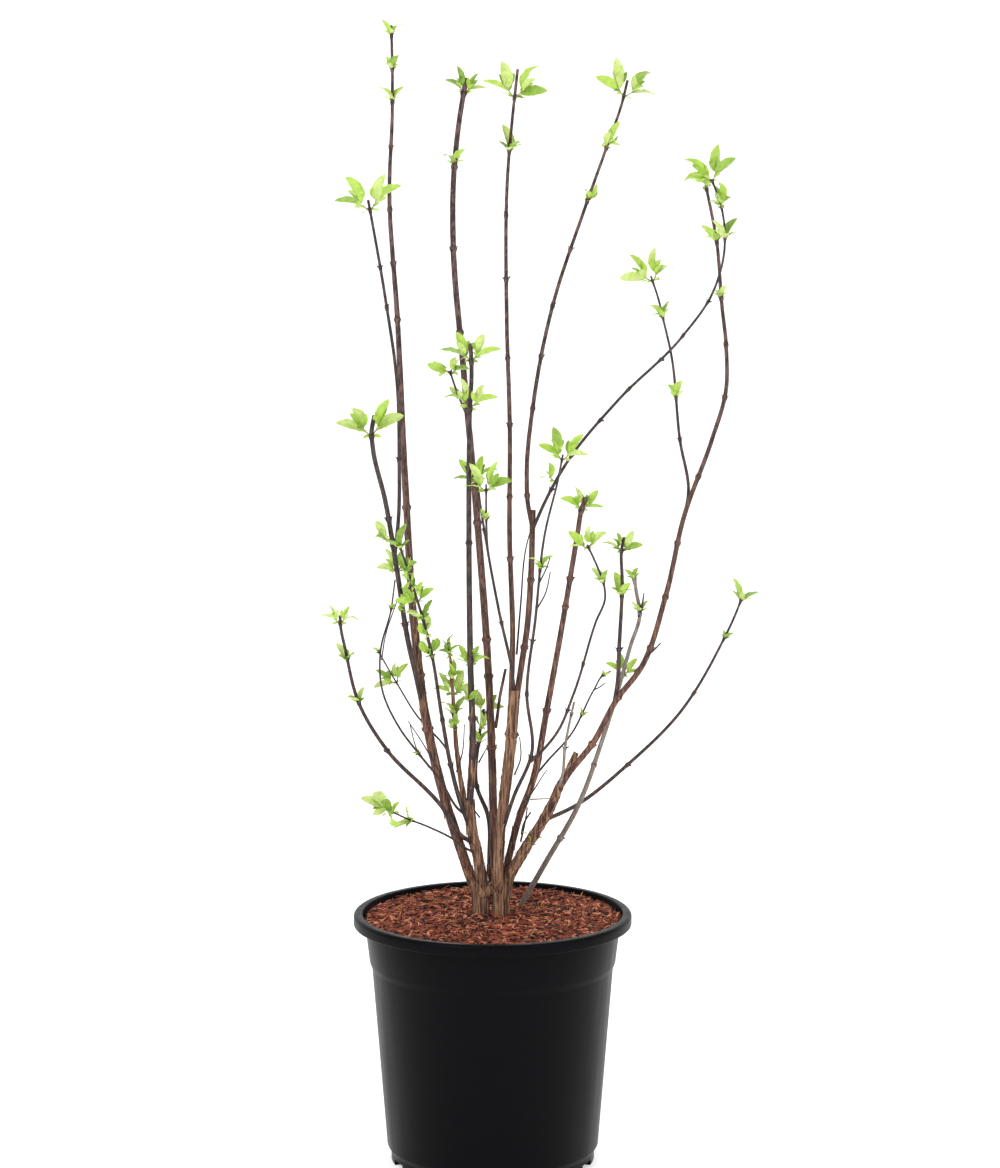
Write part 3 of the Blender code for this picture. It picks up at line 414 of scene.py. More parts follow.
# Camera, backdrop and soft boxes: each box's name, place, width and watts
CAMERA_PLACE = (7.4 * MM, -3200 * MM, 1035 * MM)
CAMERA_PITCH = 7.95
SENSOR_MM = 36
LENS_MM = 100.3
ROOM_FRONT = -7.0
ROOM_BACK = 3.4
ROOM_CURVE = 1.6
ROOM_HEIGHT = 6.0
ROOM_WIDTH = 14.0
PAPER_GLOW = 0.4
SKY_STRENGTH = 0.72
LIGHT_AIM = (0, 0, 600 * MM)
LIGHTS = (
    ("key", (-1.9, -2.6, 2.9), 2.0, 60),
    ("fill", (2.3, -2.0, 1.8), 1.6, 22),
    ("back", (0.6, 2.2, 2.8), 1.8, 24),
)


def linear(hex_colour):
    """The linear colour of an sRGB hex value."""
    channels = [int(hex_colour[i:i + 2], 16) / 255 for i in (1, 3, 5)]
    return [c / 12.92 if c <= 0.04045 else ((c + 0.055) / 1.055) ** 2.4 for c in channels] + [1.0]


def add(tree, kind, inputs=None, **settings):
    """Adds a node with its settings. An input is a value, an output, or a node for its first output."""
    node = tree.nodes.new(kind)
    for key, value in settings.items():
        setattr(node, key, value)
    for key, value in (inputs or {}).items():
        if isinstance(value, bpy.types.Node):
            value = value.outputs[0]
        if isinstance(value, bpy.types.NodeSocket):
            tree.links.new(value, node.inputs[key])
        else:
            node.inputs[key].default_value = value
    return node


def new_material(name):
    """An empty material and its node tree."""
    material = bpy.data.materials.new(name)
    material.use_nodes = True
    material.node_tree.nodes.clear()
    return material, material.node_tree


def streaks(tree, per_metre, stretch, detail=4.0):
    """Noise in the piece's own coordinates, drawn out along Z by the given share."""
    place = add(tree, "ShaderNodeTexCoord").outputs["Object"]
    drawn = add(tree, "ShaderNodeMapping", {"Vector": place, "Scale": (1, 1, stretch)})
    return add(tree, "ShaderNodeTexNoise", {
        "Vector": drawn, "Scale": per_metre, "Detail": detail, "Roughness": STREAK_ROUGHNESS})


def tinted(tree, factor, colours):
    """A colour ramp through (place, hex colour) stops."""
    ramp = add(tree, "ShaderNodeValToRGB", {"Fac": factor})
    stops = ramp.color_ramp.elements
    while len(stops) < len(colours):
        stops.new(0.5)
    for stop, (place, colour) in zip(stops, colours):
        stop.position = place
        stop.color = linear(colour)
    return ramp


def finish_surface(tree, colour, roughness, height=None, strength=0.3, depth=0.5 * MM, **more):
    """The shader and the output, with a bump where a height is given."""
    inputs = {"Base Color": colour, "Roughness": roughness, **more}
    if height is not None:
        inputs["Normal"] = add(tree, "ShaderNodeBump", {
            "Height": height, "Strength": strength, "Distance": depth})
    add(tree, "ShaderNodeOutputMaterial", {"Surface": add(tree, "ShaderNodeBsdfPrincipled", inputs)})


def bark_material(name, colours, per_metre, stretch, roughness, strength, young_colours=None):
    """Bark, streaked along the stem by the grain it splits in, and speckled where it is young."""
    material, tree = new_material(name)
    grain = streaks(tree, per_metre, stretch)
    colour = tinted(tree, grain, colours)
    if young_colours:
        # Younger wood further up a stem is smoother and darker, with corky specks of about 3 mm
        place = add(tree, "ShaderNodeTexCoord").outputs["Object"]
        height = add(tree, "ShaderNodeSeparateXYZ", {0: place}).outputs["Z"]
        share = add(tree, "ShaderNodeMapRange", {
            "Value": height, 1: YOUNG_FROM, 2: YOUNG_TO, 3: 0.0, 4: YOUNG_SHARE})
        young = tinted(tree, streaks(tree, 300.0, 0.35, 2.0), young_colours)
        colour = add(tree, "ShaderNodeMix", {0: share, 6: colour, 7: young}, data_type="RGBA").outputs[2]
    finish_surface(tree, colour, roughness, grain, strength)
    return material


def leaf_material(name, light, dark):
    """A thin young leaf: soft, lit a little from within, with its veins as faint darker flecks."""
    material, tree = new_material(name)
    fleck = streaks(tree, 260.0, 1.0, 2.0)
    colour = tinted(tree, fleck, ((0.3, dark), (0.65, light)))
    finish_surface(tree, colour, 0.5, fleck, 0.15, 0.3 * MM, **{
        "Subsurface Weight": 0.35, "Subsurface Radius": (0.003, 0.005, 0.001), "Subsurface Scale": 0.4})
    return material


def plastic_material():
    """Injection-moulded black polypropylene: dull black, with faint upright flow marks and light scuffs."""
    material, tree = new_material("pot_plastic")
    flow = streaks(tree, 60.0, 0.06)
    scuffs = streaks(tree, 900.0, 0.4)
    colour = tinted(tree, scuffs, ((0.35, "#060608"), (0.75, "#0a0a0d")))
    rough = add(tree, "ShaderNodeMapRange", {"Value": flow, 1: 0.3, 2: 0.7, 3: 0.3, 4: 0.42})
    finish_surface(tree, colour, rough, scuffs, 0.06, 0.2 * MM, **{"Specular IOR Level": 0.05})
    return material


def fibre_material(name, dark, light):
    """Shredded bark: torn dry fibres, each piece a shade of red-brown."""
    material, tree = new_material(name)
    # Fibres of 0.2 mm are drawn about twice as coarse, so that they show
    torn = streaks(tree, 1400.0, 0.5)
    colour = tinted(tree, torn, ((0.25, dark), (0.7, light)))
    finish_surface(tree, colour, 0.9, torn, 0.5, 0.6 * MM)
    return material


def make_materials():
    """Every finish by name."""
    finishes = {"plastic": plastic_material()}
    kinds = ((bark_material, WOOD_LOOKS), (leaf_material, LEAF_LOOKS), (fibre_material, FIBRE_LOOKS))
    for make, looks in kinds:
        finishes.update({name: make(name, *look) for name, look in looks.items()})
    return finishes


def linked(name, data):
    """A new object in the scene for a mesh, a lamp or a camera."""
    item = bpy.data.objects.new(name, data)
    bpy.context.scene.collection.objects.link(item)
    return item


def as_object(shape, name, turn_out=True):
    """A new object made from the bmesh, with its faces turned outwards where turn_out says so."""
    if turn_out:
        bmesh.ops.recalc_face_normals(shape, faces=shape.faces)
    mesh = bpy.data.meshes.new(name)
    shape.to_mesh(mesh)
    shape.free()
    return linked(name, mesh)


def applied(item):
    """The object with its modifier worked into its mesh and removed."""
    seen = item.evaluated_get(bpy.context.evaluated_depsgraph_get())
    result = bpy.data.meshes.new_from_object(seen)
    item.modifiers.clear()
    item.data = result
    return item


def settle(item, nodes, material=None):
    """Puts a finished piece on the plant's one body, standing for its solids."""
    if material:
        item.data.materials.clear()
        item.data.materials.append(material)
    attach(item, "root")
    if nodes:
        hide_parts(*nodes)


def new_tree(name, inputs):
    """A geometry tree with a geometry socket and the named inputs, and its input node's outputs."""
    tree = bpy.data.node_groups.new(name, "GeometryNodeTree")
    tree.interface.new_socket("Geometry", in_out="INPUT", socket_type="NodeSocketGeometry")
    for label, kind in inputs:
        tree.interface.new_socket(label, in_out="INPUT", socket_type="NodeSocket" + kind)
    tree.interface.new_socket("Geometry", in_out="OUTPUT", socket_type="NodeSocketGeometry")
    return tree, add(tree, "NodeGroupInput").outputs


def end_tree(tree, geometry, material):
    """Ends a tree with real, smooth, painted geometry."""
    real = add(tree, "GeometryNodeRealizeInstances", {"Geometry": geometry})
    round_off = add(tree, "GeometryNodeSetShadeSmooth", {"Geometry": real})
    painted = add(tree, "GeometryNodeSetMaterial", {"Geometry": round_off, "Material": material})
    add(tree, "NodeGroupOutput", {"Geometry": painted})


def run_tree(name, mesh, tree, values):
    """Runs a tree on a mesh and returns the plain mesh object that it makes."""
    item = linked(name, mesh)
    grower = item.modifiers.new("grow", "NODES")
    grower.node_group = tree
    for socket in tree.interface.items_tree:
        if socket.in_out == "INPUT" and socket.name in values:
            grower[socket.identifier] = values[socket.name]
    return applied(item)


def noted(tree, name, kind="FLOAT"):
    """The value that each point of the mesh carries under a name."""
    return add(tree, "GeometryNodeInputNamedAttribute", {"Name": name}, data_type=kind)


def patterns_on(tree, points, patterns, values):
    """One of a collection's patterns on each point."""
    kinds = add(tree, "GeometryNodeCollectionInfo", {
        "Collection": patterns, "Separate Children": True, "Reset Children": True})
    return add(tree, "GeometryNodeInstanceOnPoints", {
        "Points": points, "Instance": kinds, "Pick Instance": True, **values})


def bark_tree():
    """Wraps bark round lines: a tube of each point's own radius, with its grain standing up."""
    tree, given = new_tree("wrap_bark", [
        ("Sides", "Int"), ("Relief", "Float"), ("Grain per metre", "Float"), ("Material", "Material")])
    line = add(tree, "GeometryNodeMeshToCurve", {"Mesh": given["Geometry"]})
    ring = add(tree, "GeometryNodeCurvePrimitiveCircle", {"Resolution": given["Sides"], "Radius": 1.0})
    tube = add(tree, "GeometryNodeCurveToMesh", {
        "Curve": line, "Profile Curve": ring, "Scale": noted(tree, "stem_radius"), "Fill Caps": True})
    place = add(tree, "GeometryNodeInputPosition")
    drawn = add(tree, "ShaderNodeVectorMath", {0: place, 1: (1, 1, GRAIN_STRETCH)}, operation="MULTIPLY")
    grain = add(tree, "ShaderNodeTexNoise", {
        "Vector": drawn, "Scale": given["Grain per metre"], "Detail": 3.0})
    lift = add(tree, "ShaderNodeMath", {0: grain, 1: 0.5}, operation="SUBTRACT")
    high = add(tree, "ShaderNodeMath", {0: lift, 1: given["Relief"]}, operation="MULTIPLY")
    normal = add(tree, "GeometryNodeInputNormal")
    shift = add(tree, "ShaderNodeVectorMath", {0: normal, "Scale": high}, operation="SCALE")
    rough = add(tree, "GeometryNodeSetPosition", {"Geometry": tube, "Offset": shift})
    end_tree(tree, rough, given["Material"])
    return tree


def leaf_tree():
    """Sets a leaf on each point, turned and sized by the point's own values."""
    tree, given = new_tree("set_leaves", [("Leaves", "Collection"), ("Material", "Material")])
    placed = patterns_on(tree, given["Geometry"], given["Leaves"], {
        "Instance Index": noted(tree, "leaf_kind", "INT"), "Scale": noted(tree, "leaf_size"),
        "Rotation": noted(tree, "leaf_turn", "FLOAT_VECTOR")})
    end_tree(tree, placed, given["Material"])
    return tree


def fibre_tree():
    """Strews fibres over a surface, lying nearly flat and turned every way."""
    tree, given = new_tree("strew_fibres", [
        ("Fibres", "Collection"), ("Per square metre", "Float"), ("Seed", "Int"), ("Material", "Material")])
    seed = given["Seed"]
    points = add(tree, "GeometryNodeDistributePointsOnFaces", {
        "Mesh": given["Geometry"], "Density": given["Per square metre"], "Seed": seed})
    low = (-FIBRE_TILT[0], -FIBRE_TILT[1], 0.0)
    high = (*FIBRE_TILT, 2 * math.pi)
    turn = add(tree, "FunctionNodeRandomValue", {0: low, 1: high, "Seed": seed}, data_type="FLOAT_VECTOR")
    size = add(tree, "FunctionNodeRandomValue", {
        2: FIBRE_SIZES[0], 3: FIBRE_SIZES[1], "Seed": seed}, data_type="FLOAT")
    strewn = patterns_on(tree, points, given["Fibres"], {"Rotation": turn, "Scale": size.outputs[1]})
    end_tree(tree, strewn, given["Material"])
    return tree


def smooth(places, step=STEM_STEP):
    """A list of points a step apart on one curve through the given places, in millimetres."""
    knots = [Vector(place) * MM for place in places]
    spans = [(b - a).length for a, b in zip(knots, knots[1:])]
    slopes = [(b - a) / span for a, b, span in zip(knots, knots[1:], spans)]
    tangents = [slopes[0]]
    for i in range(1, len(slopes)):
        whole = spans[i - 1] + spans[i]
        tangents.append((slopes[i - 1] * spans[i] + slopes[i] * spans[i - 1]) / whole)
    tangents.append(slopes[-1])
    path = []
    for i, span in enumerate(spans):
        steps = max(2, round(span / step))
        for k in range(steps):
            t = k / steps
            path.append(
                knots[i] * (2 * t**3 - 3 * t**2 + 1)
                + tangents[i] * span * (t**3 - 2 * t**2 + t)
                + knots[i + 1] * (3 * t**2 - 2 * t**3)
                + tangents[i + 1] * span * (t**3 - t**2))
    return path + [knots[-1]]


def lengths(path):
    """How far along the path each of its points lies."""
    far = [0.0]
    for a, b in zip(path, path[1:]):
        far.append(far[-1] + (b - a).length)
    return far


def index_at_height(path, height):
    """The first point at or above a height in millimetres."""
    return next((i for i, p in enumerate(path) if p.z >= height * MM), len(path) - 1)


def way_at(path, i):
    """The way the path runs at one of its points."""
    return (path[min(i + 1, len(path) - 1)] - path[max(i - 1, 0)]).normalized()


def stem_radii(path, thick, rings=()):
    """A radius for each point: an even taper, with a smooth swelling at each node."""
    far = lengths(path)
    nodes = [far[index_at_height(path, ring)] for ring in rings]
    radii = []
    for distance in far:
        plain = (thick[0] + (thick[1] - thick[0]) * distance / far[-1]) * MM / 2
        swell = sum(math.exp(-(((distance - node) / NODE_SPREAD) ** 2)) for node in nodes)
        radii.append(plain * (1 + NODE_SWELL * swell))
    return radii


def node_heights(row):
    """The heights of a stem's nodes: its bare rings, then its leaf tufts."""
    return [*row.rings, *(tuft[0] for tuft in row.tufts)]


def stem_runs():
    """Every stem, fork and fine twig as (bark, path, radii)."""
    runs = []
    for row in (*STEMS.values(), *FINE_TWIGS):
        path = smooth(row.line)
        runs.append((row.bark, path, stem_radii(path, row.thick, node_heights(row))))
        for fork in row.forks:
            twig = smooth(fork)
            runs.append((DARK_BARK, twig, stem_radii(twig, (row.thick[1] * FORK_SHARE, FORK_TIP))))
    return runs


def crown_runs():
    """The stool: a flaring root stock under each stem it carries, and the knuckle between its two feet."""
    runs = []
    for row in STEMS.values():
        if row.foot is None:
            continue
        right, back, radius = row.foot
        path = smooth(row.line)
        way = (path[1] - path[0]).normalized()
        end = path[0] + way * GAP
        foot = Vector((right * MM, back * MM, GROUND))
        spread = (end - foot).to_2d() * FOOT_SPREAD
        sunk = foot + Vector((spread.x, spread.y, -FOOT_SUNK))
        middle = (foot + end) / 2 - way.to_2d().to_3d() * CROWN_BOW
        stock = smooth([sunk / MM, middle / MM, (end - way * CROWN_COLLAR) / MM, end / MM])
        flare = max(row.thick[0], radius) * ROOT_FLARE
        runs.append((OLD_BARK, stock, stem_radii(stock, (flare, row.thick[0]))))
    knuckle = smooth(KNUCKLE)
    runs.append((OLD_BARK, knuckle, stem_radii(knuckle, (KNUCKLE_THICK, KNUCKLE_THICK))))
    return runs


def note(mesh, name, kind, values, part="value"):
    """Gives each point of a mesh a value under a name."""
    mesh.attributes.new(name, kind, "POINT").data.foreach_set(part, values)


def lines_mesh(name, runs):
    """One mesh of bare lines, each point with its stem's radius."""
    points, edges, radii = [], [], []
    for _, path, sizes in runs:
        first = len(points)
        points += path
        radii += sizes
        edges += [(first + i, first + i + 1) for i in range(len(path) - 1)]
    mesh = bpy.data.meshes.new(name)
    mesh.from_pydata(points, edges, [])
    note(mesh, "stem_radius", "FLOAT", radii)
    return mesh


def points_mesh(name, leaves):
    """One mesh of bare points, each with its leaf's turn, size and kind."""
    mesh = bpy.data.meshes.new(name)
    places, turns, sizes, kinds = zip(*leaves)
    mesh.from_pydata(places, [], [])
    note(mesh, "leaf_turn", "FLOAT_VECTOR", [angle for turn in turns for angle in turn], "vector")
    note(mesh, "leaf_size", "FLOAT", sizes)
    note(mesh, "leaf_kind", "INT", kinds)
    return mesh


def hidden_group(name, items):
    """A collection of patterns that no scene shows."""
    group = bpy.data.collections.new(name)
    for item in items:
        group.objects.link(item)
        bpy.context.scene.collection.objects.unlink(item)
    return group


def leaf_pattern(name, arch, cup, curl, wave):
    """A leaf one metre long for its size to shrink: pointed oval, arched, cupped and curled at the tip."""
    along, across = 9, 4
    shape = bmesh.new()
    rows = []
    for i in range(along + 1):
        t = i / along
        # Blunt at the stalk, widest before the middle, and drawn to a point
        width = LEAF_WIDTH_SHARE * math.sin(math.pi * t**0.95) ** 0.65 if 0 < t < 1 else 0.0
        bend = arch * math.sin(math.pi * t) - curl * max(0.0, t - 0.55) ** 2
        row = []
        for k in range(across + 1):
            side = 2 * k / across - 1
            edge = wave * math.sin(7 * math.pi * t + side) * abs(side) * width
            row.append(shape.verts.new((
                t, side * width / 2, bend + cup * width * abs(side) ** 1.5 + edge)))
        rows.append(row)
    for low, high in zip(rows, rows[1:]):
        for k in range(across):
            shape.faces.new((low[k], high[k], high[k + 1], low[k + 1]))
    bmesh.ops.remove_doubles(shape, verts=shape.verts, dist=1e-5)
    return as_object(shape, name)


def leaf_patterns():
    """One leaf of each habit, in the order of their names."""
    return hidden_group("leaf_patterns", [leaf_pattern(*habit) for habit in LEAF_HABITS])


def turn_of(aim, face):
    """The turn that points a leaf along aim, with its upper side towards face."""
    aim = aim.normalized()
    up = (face - aim * face.dot(aim)).normalized()
    return tuple(Matrix((aim, up.cross(aim), up)).transposed().to_euler())


def set_leaf(leaves, at, aim, face, length, dice):
    """Notes one leaf: where it stands, how it is turned, its length and its habit."""
    # The green is dealt at random: the paler with painted sunlight, the middle, the deeper with painted
    # shade
    green = dice.choices(list(GREEN_SHARES), list(GREEN_SHARES.values()))[0]
    leaves[green].append((at, turn_of(aim, face), length, dice.randrange(len(LEAF_HABITS))))


def set_shoot(shoots, at, lean, length):
    """Notes the thin green shoot that carries a fan of leaves."""
    ends = [at, at + lean * length * 0.5, at + lean * length]
    shoots.append(("shoot_green", ends, [SHOOT_THICKNESS * share / 2 for share in SHOOT_TAPER]))


def fan_leaves(leaves, root, lean, along, out, shoot, reach, count, dice):
    """Leaves on a short shoot: as much of the fan as the tuft has, then the finer leaves and bracts."""
    third = along.cross(out)
    hand = dice.choice((-1, 1))
    for place, outward, upward, sideways, share in (*LEAF_FAN[:count + 1], *FINE_FAN):
        sway = dice.uniform(-LEAF_SWAY, LEAF_SWAY)
        aim = out * outward + along * upward + third * (sideways * hand + sway)
        foot = root + lean * (shoot * place)
        if place == 1.0:
            # The leaf at the tip goes on the way the shoot does, its foot sunk into it
            aim = aim + lean
            foot = foot - lean * LEAF_SINK
        face = along - out * 0.4 + third * (dice.choice((-1, 1)) * dice.uniform(*LEAF_TILT))
        length = reach * MM * share * dice.uniform(*LEAF_UNEVEN) + LEAF_SINK
        set_leaf(leaves, foot, aim, face, length, dice)


def bud_way(along, turn):
    """The way out of a node's buds: to the sides, or to front and back after a quarter turn."""
    first = RIGHT if turn == 0 else BACK
    return (first - along * first.dot(along)).normalized()


def open_node(leaves, shoots, at, along, reach, count, turn, dice):
    """The two opposite buds of a node: single small leaves with bracts, or short shoots with fans."""
    out = bud_way(along, turn)
    small = reach < SMALL_TUFT
    swing = dice.uniform(*(SMALL_SWING if small else FAN_SWING))
    out = (out + along.cross(out) * swing).normalized()
    for way in (-out, out):
        if small:
            aim = way * dice.uniform(*SMALL_LEAF_OUT) + along * SHOOT_RISE
            set_leaf(leaves, at, aim, along - way * 0.4, reach * MM * SMALL_LEAF_SHARE, dice)
            for spread in BRACT_SPREAD:
                side = along.cross(way) * spread
                set_leaf(leaves, at, aim + side, along - way * 0.3, reach * MM * SMALL_BRACT_SHARE, dice)
            continue
        lean = (along * SHOOT_RISE + way * dice.uniform(*SHOOT_OUT)).normalized()
        shoot = reach * MM * SHOOT_SHARE
        set_shoot(shoots, at, lean, shoot)
        fan_leaves(leaves, at, lean, along, way, shoot, reach, count, dice)


def grow_foliage():
    """Every leaf, green shoot and bud scale."""
    leaves = {green: [] for green in GREEN_SHARES}
    shoots, buds = [], []
    for order, row in enumerate(STEMS.values()):
        dice = random.Random(SEED + order)
        path = smooth(row.line)
        for height, reach, count, turn in (*row.tufts, *row.crowded):
            i = index_at_height(path, height)
            open_node(leaves, shoots, path[i], way_at(path, i), reach, count, turn, dice)
        radii = stem_radii(path, row.thick)
        for number, height in enumerate(node_heights(row)):
            i = index_at_height(path, height)
            add_buds(buds, path[i], way_at(path, i), radii[i], number % 2, dice)
    for order, (host, height, way, reach) in enumerate(SPRIGS.values()):
        dice = random.Random(SEED * 7 + order)
        row = STEMS[host]
        path = smooth(row.line)
        i = index_at_height(path, height)
        out = Vector((way[0], way[1], 0)).normalized()
        lean = (out + way_at(path, i) * 0.6).normalized()
        shoot = row.thick[0] * MM / 2 + reach * MM * SHOOT_SHARE
        set_shoot(shoots, path[i], lean, shoot)
        fan_leaves(leaves, path[i], lean, way_at(path, i), out, shoot, reach, len(LEAF_FAN), dice)
    return leaves, shoots, buds


def add_buds(buds, at, along, radius, turn, dice):
    """The brown scales that stay round a node's two buds."""
    out = bud_way(along, turn)
    for way in (-out, out):
        for spread in BUD_SPREAD:
            side = along.cross(way) * spread
            aim = way * 0.7 + along * 0.8 + side
            root = at + way * radius * 0.9 + side * radius * 0.5
            buds.append((root, turn_of(aim, along - way), dice.uniform(*BUD_LENGTH), BUD_HABIT))


def strip_runs():
    """The stems that bark peels from, by name: path and radii."""
    found = {"crown": [(path, radii) for _, path, radii in crown_runs()]}
    for name, row in STEMS.items():
        path = smooth(row.line)
        found[name] = [(path, stem_radii(path, row.thick))]
    return found


def peel_bark():
    """Narrow strips of old bark that lie along a stem and curl away from it at one end."""
    shape = bmesh.new()
    dice = random.Random(SEED * 13)
    stems = strip_runs()
    for name, count, top in PEELING:
        for _ in range(count):
            path, radii = dice.choice(stems[name])
            last = max(8, index_at_height(path, top))
            stations = round(dice.uniform(*STRIP_LENGTH) / STEM_STEP)
            start = dice.randrange(0, max(1, last - stations // 2))
            angle = dice.uniform(0, 2 * math.pi)
            twist = dice.uniform(-STRIP_TWIST, STRIP_TWIST)
            width = dice.uniform(*STRIP_WIDTH)
            lift = dice.uniform(0.1, 1.0) ** 2 * STRIP_LIFT
            free_above = dice.random() < STRIPS_FREE_ABOVE
            pairs = []
            for k in range(STRIP_STATIONS + 1):
                t = k / STRIP_STATIONS
                i = min(len(path) - 1, start + round(stations * t))
                way = way_at(path, i)
                across = (BACK - way * BACK.dot(way)).normalized()
                beside = way.cross(across)
                a = angle + twist * t
                out = across * math.cos(a) + beside * math.sin(a)
                side = way.cross(out)
                peel = (t if free_above else 1 - t) ** 3 * lift
                centre = path[i] + out * (radii[i] + STRIP_GAP + peel)
                half = width / 2 * math.sin(math.pi * (0.12 + 0.76 * t)) ** 0.5
                pairs.append([shape.verts.new(centre - side * half), shape.verts.new(centre + side * half)])
            for low, high in zip(pairs, pairs[1:]):
                if (low[0].co - high[0].co).length > 1e-6:
                    shape.faces.new((low[0], low[1], high[1], high[0]))
    item = as_object(shape, "bark_strips", turn_out=False)
    item.data.shade_smooth()
    return item


def turned(name, profile, sides=POT_SIDES):
    """A solid turned about the upright axis; the profile starts and ends on it."""
    shape = bmesh.new()
    rings = []
    for radius, height in profile:
        count = sides if radius > 0 else 1
        rings.append([
            shape.verts.new((radius * math.cos(a), radius * math.sin(a), height))
            for a in (2 * math.pi * (k + 0.5) / sides for k in range(count))])
    for low, high in zip(rings, rings[1:]):
        for k in range(sides):
            following = (k + 1) % sides
            corners = [low[k % len(low)], low[following % len(low)],
                       high[following % len(high)], high[k % len(high)]]
            shape.faces.new(list(dict.fromkeys(corners)))
    return as_object(shape, name)


def rounded(centre, radius, start, end, steps=6):
    """Points of an arc in the profile's plane, from one angle in degrees to another."""
    angles = [math.radians(start + (end - start) * k / steps) for k in range(steps + 1)]
    return [(centre[0] + radius * math.cos(a), centre[1] + radius * math.sin(a)) for a in angles]


def pot_inner(shrink=0.0):
    """The pot's inside, from its lip down to the middle of its floor, drawn in by shrink."""
    return [
        (BAND_TOP_RADIUS - 0.5 * MM - shrink, POT_HEIGHT - LIP_DROP + 1 * MM),
        (BAND_TOP_RADIUS - WALL - shrink, POT_HEIGHT - LIP_DROP - 5 * MM),
        (BAND_FOOT_RADIUS - WALL - shrink, BAND_FOOT),
        (WALL_TOP_RADIUS - WALL - shrink, WALL_TOP),
        (WALL_FOOT_RADIUS - WALL - shrink, WALL_FOOT),
        (FOOT_RADIUS - WALL - shrink, FOOT_RING_FLOOR + shrink),
        (FOOT_RING_RADIUS - shrink, FOOT_RING_FLOOR + shrink),
        (FOOT_RING_RADIUS - FOOT_RING_FLOOR + FLOOR - shrink, FLOOR + shrink), (0, FLOOR + shrink)]


def pot_profile():
    """The whole section of the pot: underside, wall, band, rolled lip and inside, with its edges rounded."""
    soft = 1.2 * MM
    lip = 3.6 * MM
    outside = [(0, 0), (FOOT_RADIUS - soft, 0)]
    outside += rounded((FOOT_RADIUS - soft, soft), soft, -90, 0, 3)
    outside += [(FOOT_RADIUS, FOOT_HEIGHT - soft), (FOOT_RADIUS + 0.5 * MM, FOOT_HEIGHT),
                (WALL_FOOT_RADIUS - 0.6 * MM, WALL_FOOT - 0.6 * MM), (WALL_FOOT_RADIUS, WALL_FOOT + 1 * MM),
                (WALL_TOP_RADIUS, WALL_TOP), (WALL_TOP_RADIUS + 0.4 * MM, WALL_TOP + 1.2 * MM),
                (BAND_FOOT_RADIUS - 0.4 * MM, BAND_FOOT - 1 * MM), (BAND_FOOT_RADIUS, BAND_FOOT)]
    outside += rounded((BAND_TOP_RADIUS + 3 * MM, POT_HEIGHT - LIP_DROP - 3.4 * MM), 3 * MM, 180, 90, 5)
    outside += rounded((LIP_RADIUS - soft, POT_HEIGHT - LIP_DROP + soft + 0.5 * MM), soft, -90, 0, 3)
    outside += rounded((LIP_RADIUS - lip, POT_HEIGHT - lip), lip, 0, 90, 8)
    outside += rounded((MOUTH_RADIUS + 1 * MM, POT_HEIGHT - 1.6 * MM), 1.6 * MM, 90, 180, 5)
    return outside + [(MOUTH_RADIUS - 1.4 * MM, POT_HEIGHT - 5 * MM)] + pot_inner()


def box(name, low, high):
    """A plain block between two corners."""
    shape = bmesh.new()
    bmesh.ops.create_cube(shape, size=1.0)
    low, high = Vector(low), Vector(high)
    for corner in shape.verts:
        corner.co = (low + high) / 2 + Vector(a * b for a, b in zip(corner.co, high - low))
    return as_object(shape, name)


def make_pot(material):
    """The moulded pot, with drain notches cut up into its foot."""
    pot = turned("pot_shell", pot_profile())
    cutters = []
    for k in range(NOTCHES):
        cutter = box(f"notch_{k}", (FOOT_RING_RADIUS + 2 * MM, -NOTCH_WIDTH / 2, -5 * MM),
                     (LIP_RADIUS, NOTCH_WIDTH / 2, NOTCH_HEIGHT))
        cutter.rotation_euler.z = 2 * math.pi * (k + 0.5) / NOTCHES
        cutters.append(cutter)
    group = hidden_group("notches", cutters)
    cut = pot.modifiers.new("notches", "BOOLEAN")
    cut.operation = "DIFFERENCE"
    cut.solver = "EXACT"
    cut.operand_type = "COLLECTION"
    cut.collection = group
    applied(pot)
    pot.data.shade_smooth()
    pot.data.set_sharp_from_angle(angle=math.radians(POT_SHARP_ANGLE))
    settle(pot, ["pot"], material)


def mix_height(place):
    """The height of the mix at a place: level in the middle, a little lower at the wall, and bumpy."""
    radius = place.to_2d().length
    share = (radius - MIX_LEVEL_RADIUS) / (MIX_EDGE_RADIUS - MIX_LEVEL_RADIUS)
    drop = max(0.0, share) * (MIX_TOP - MIX_EDGE)
    bump = noise.noise(Vector((place.x * BUMPS_PER_METRE, place.y * BUMPS_PER_METRE, 0.3))) * MIX_BUMPS
    return MIX_TOP - drop + bump * min(1.0, (MIX_EDGE_RADIUS - radius) / (8 * MM))


def make_bed(material):
    """The bed of potting mix, which fills the pot."""
    top = [(MIX_EDGE_RADIUS * k / MIX_RINGS, MIX_TOP) for k in range(MIX_RINGS)]
    side = [(MIX_EDGE_RADIUS, MIX_EDGE), (BAND_TOP_RADIUS - WALL - GAP, MIX_SHOULDER)]
    side += [(radius, height) for radius, height in pot_inner(GAP) if height < BAND_FOOT]
    bed = turned("mix_bed", top + side, MIX_SIDES)
    for corner in bed.data.vertices:
        if corner.co.z > MIX_EDGE - 1 * MM:
            corner.co.z = mix_height(corner.co)
    # Its colour is moist mix and painted shade between the fibres
    settle(bed, ["potting_mix"], material)


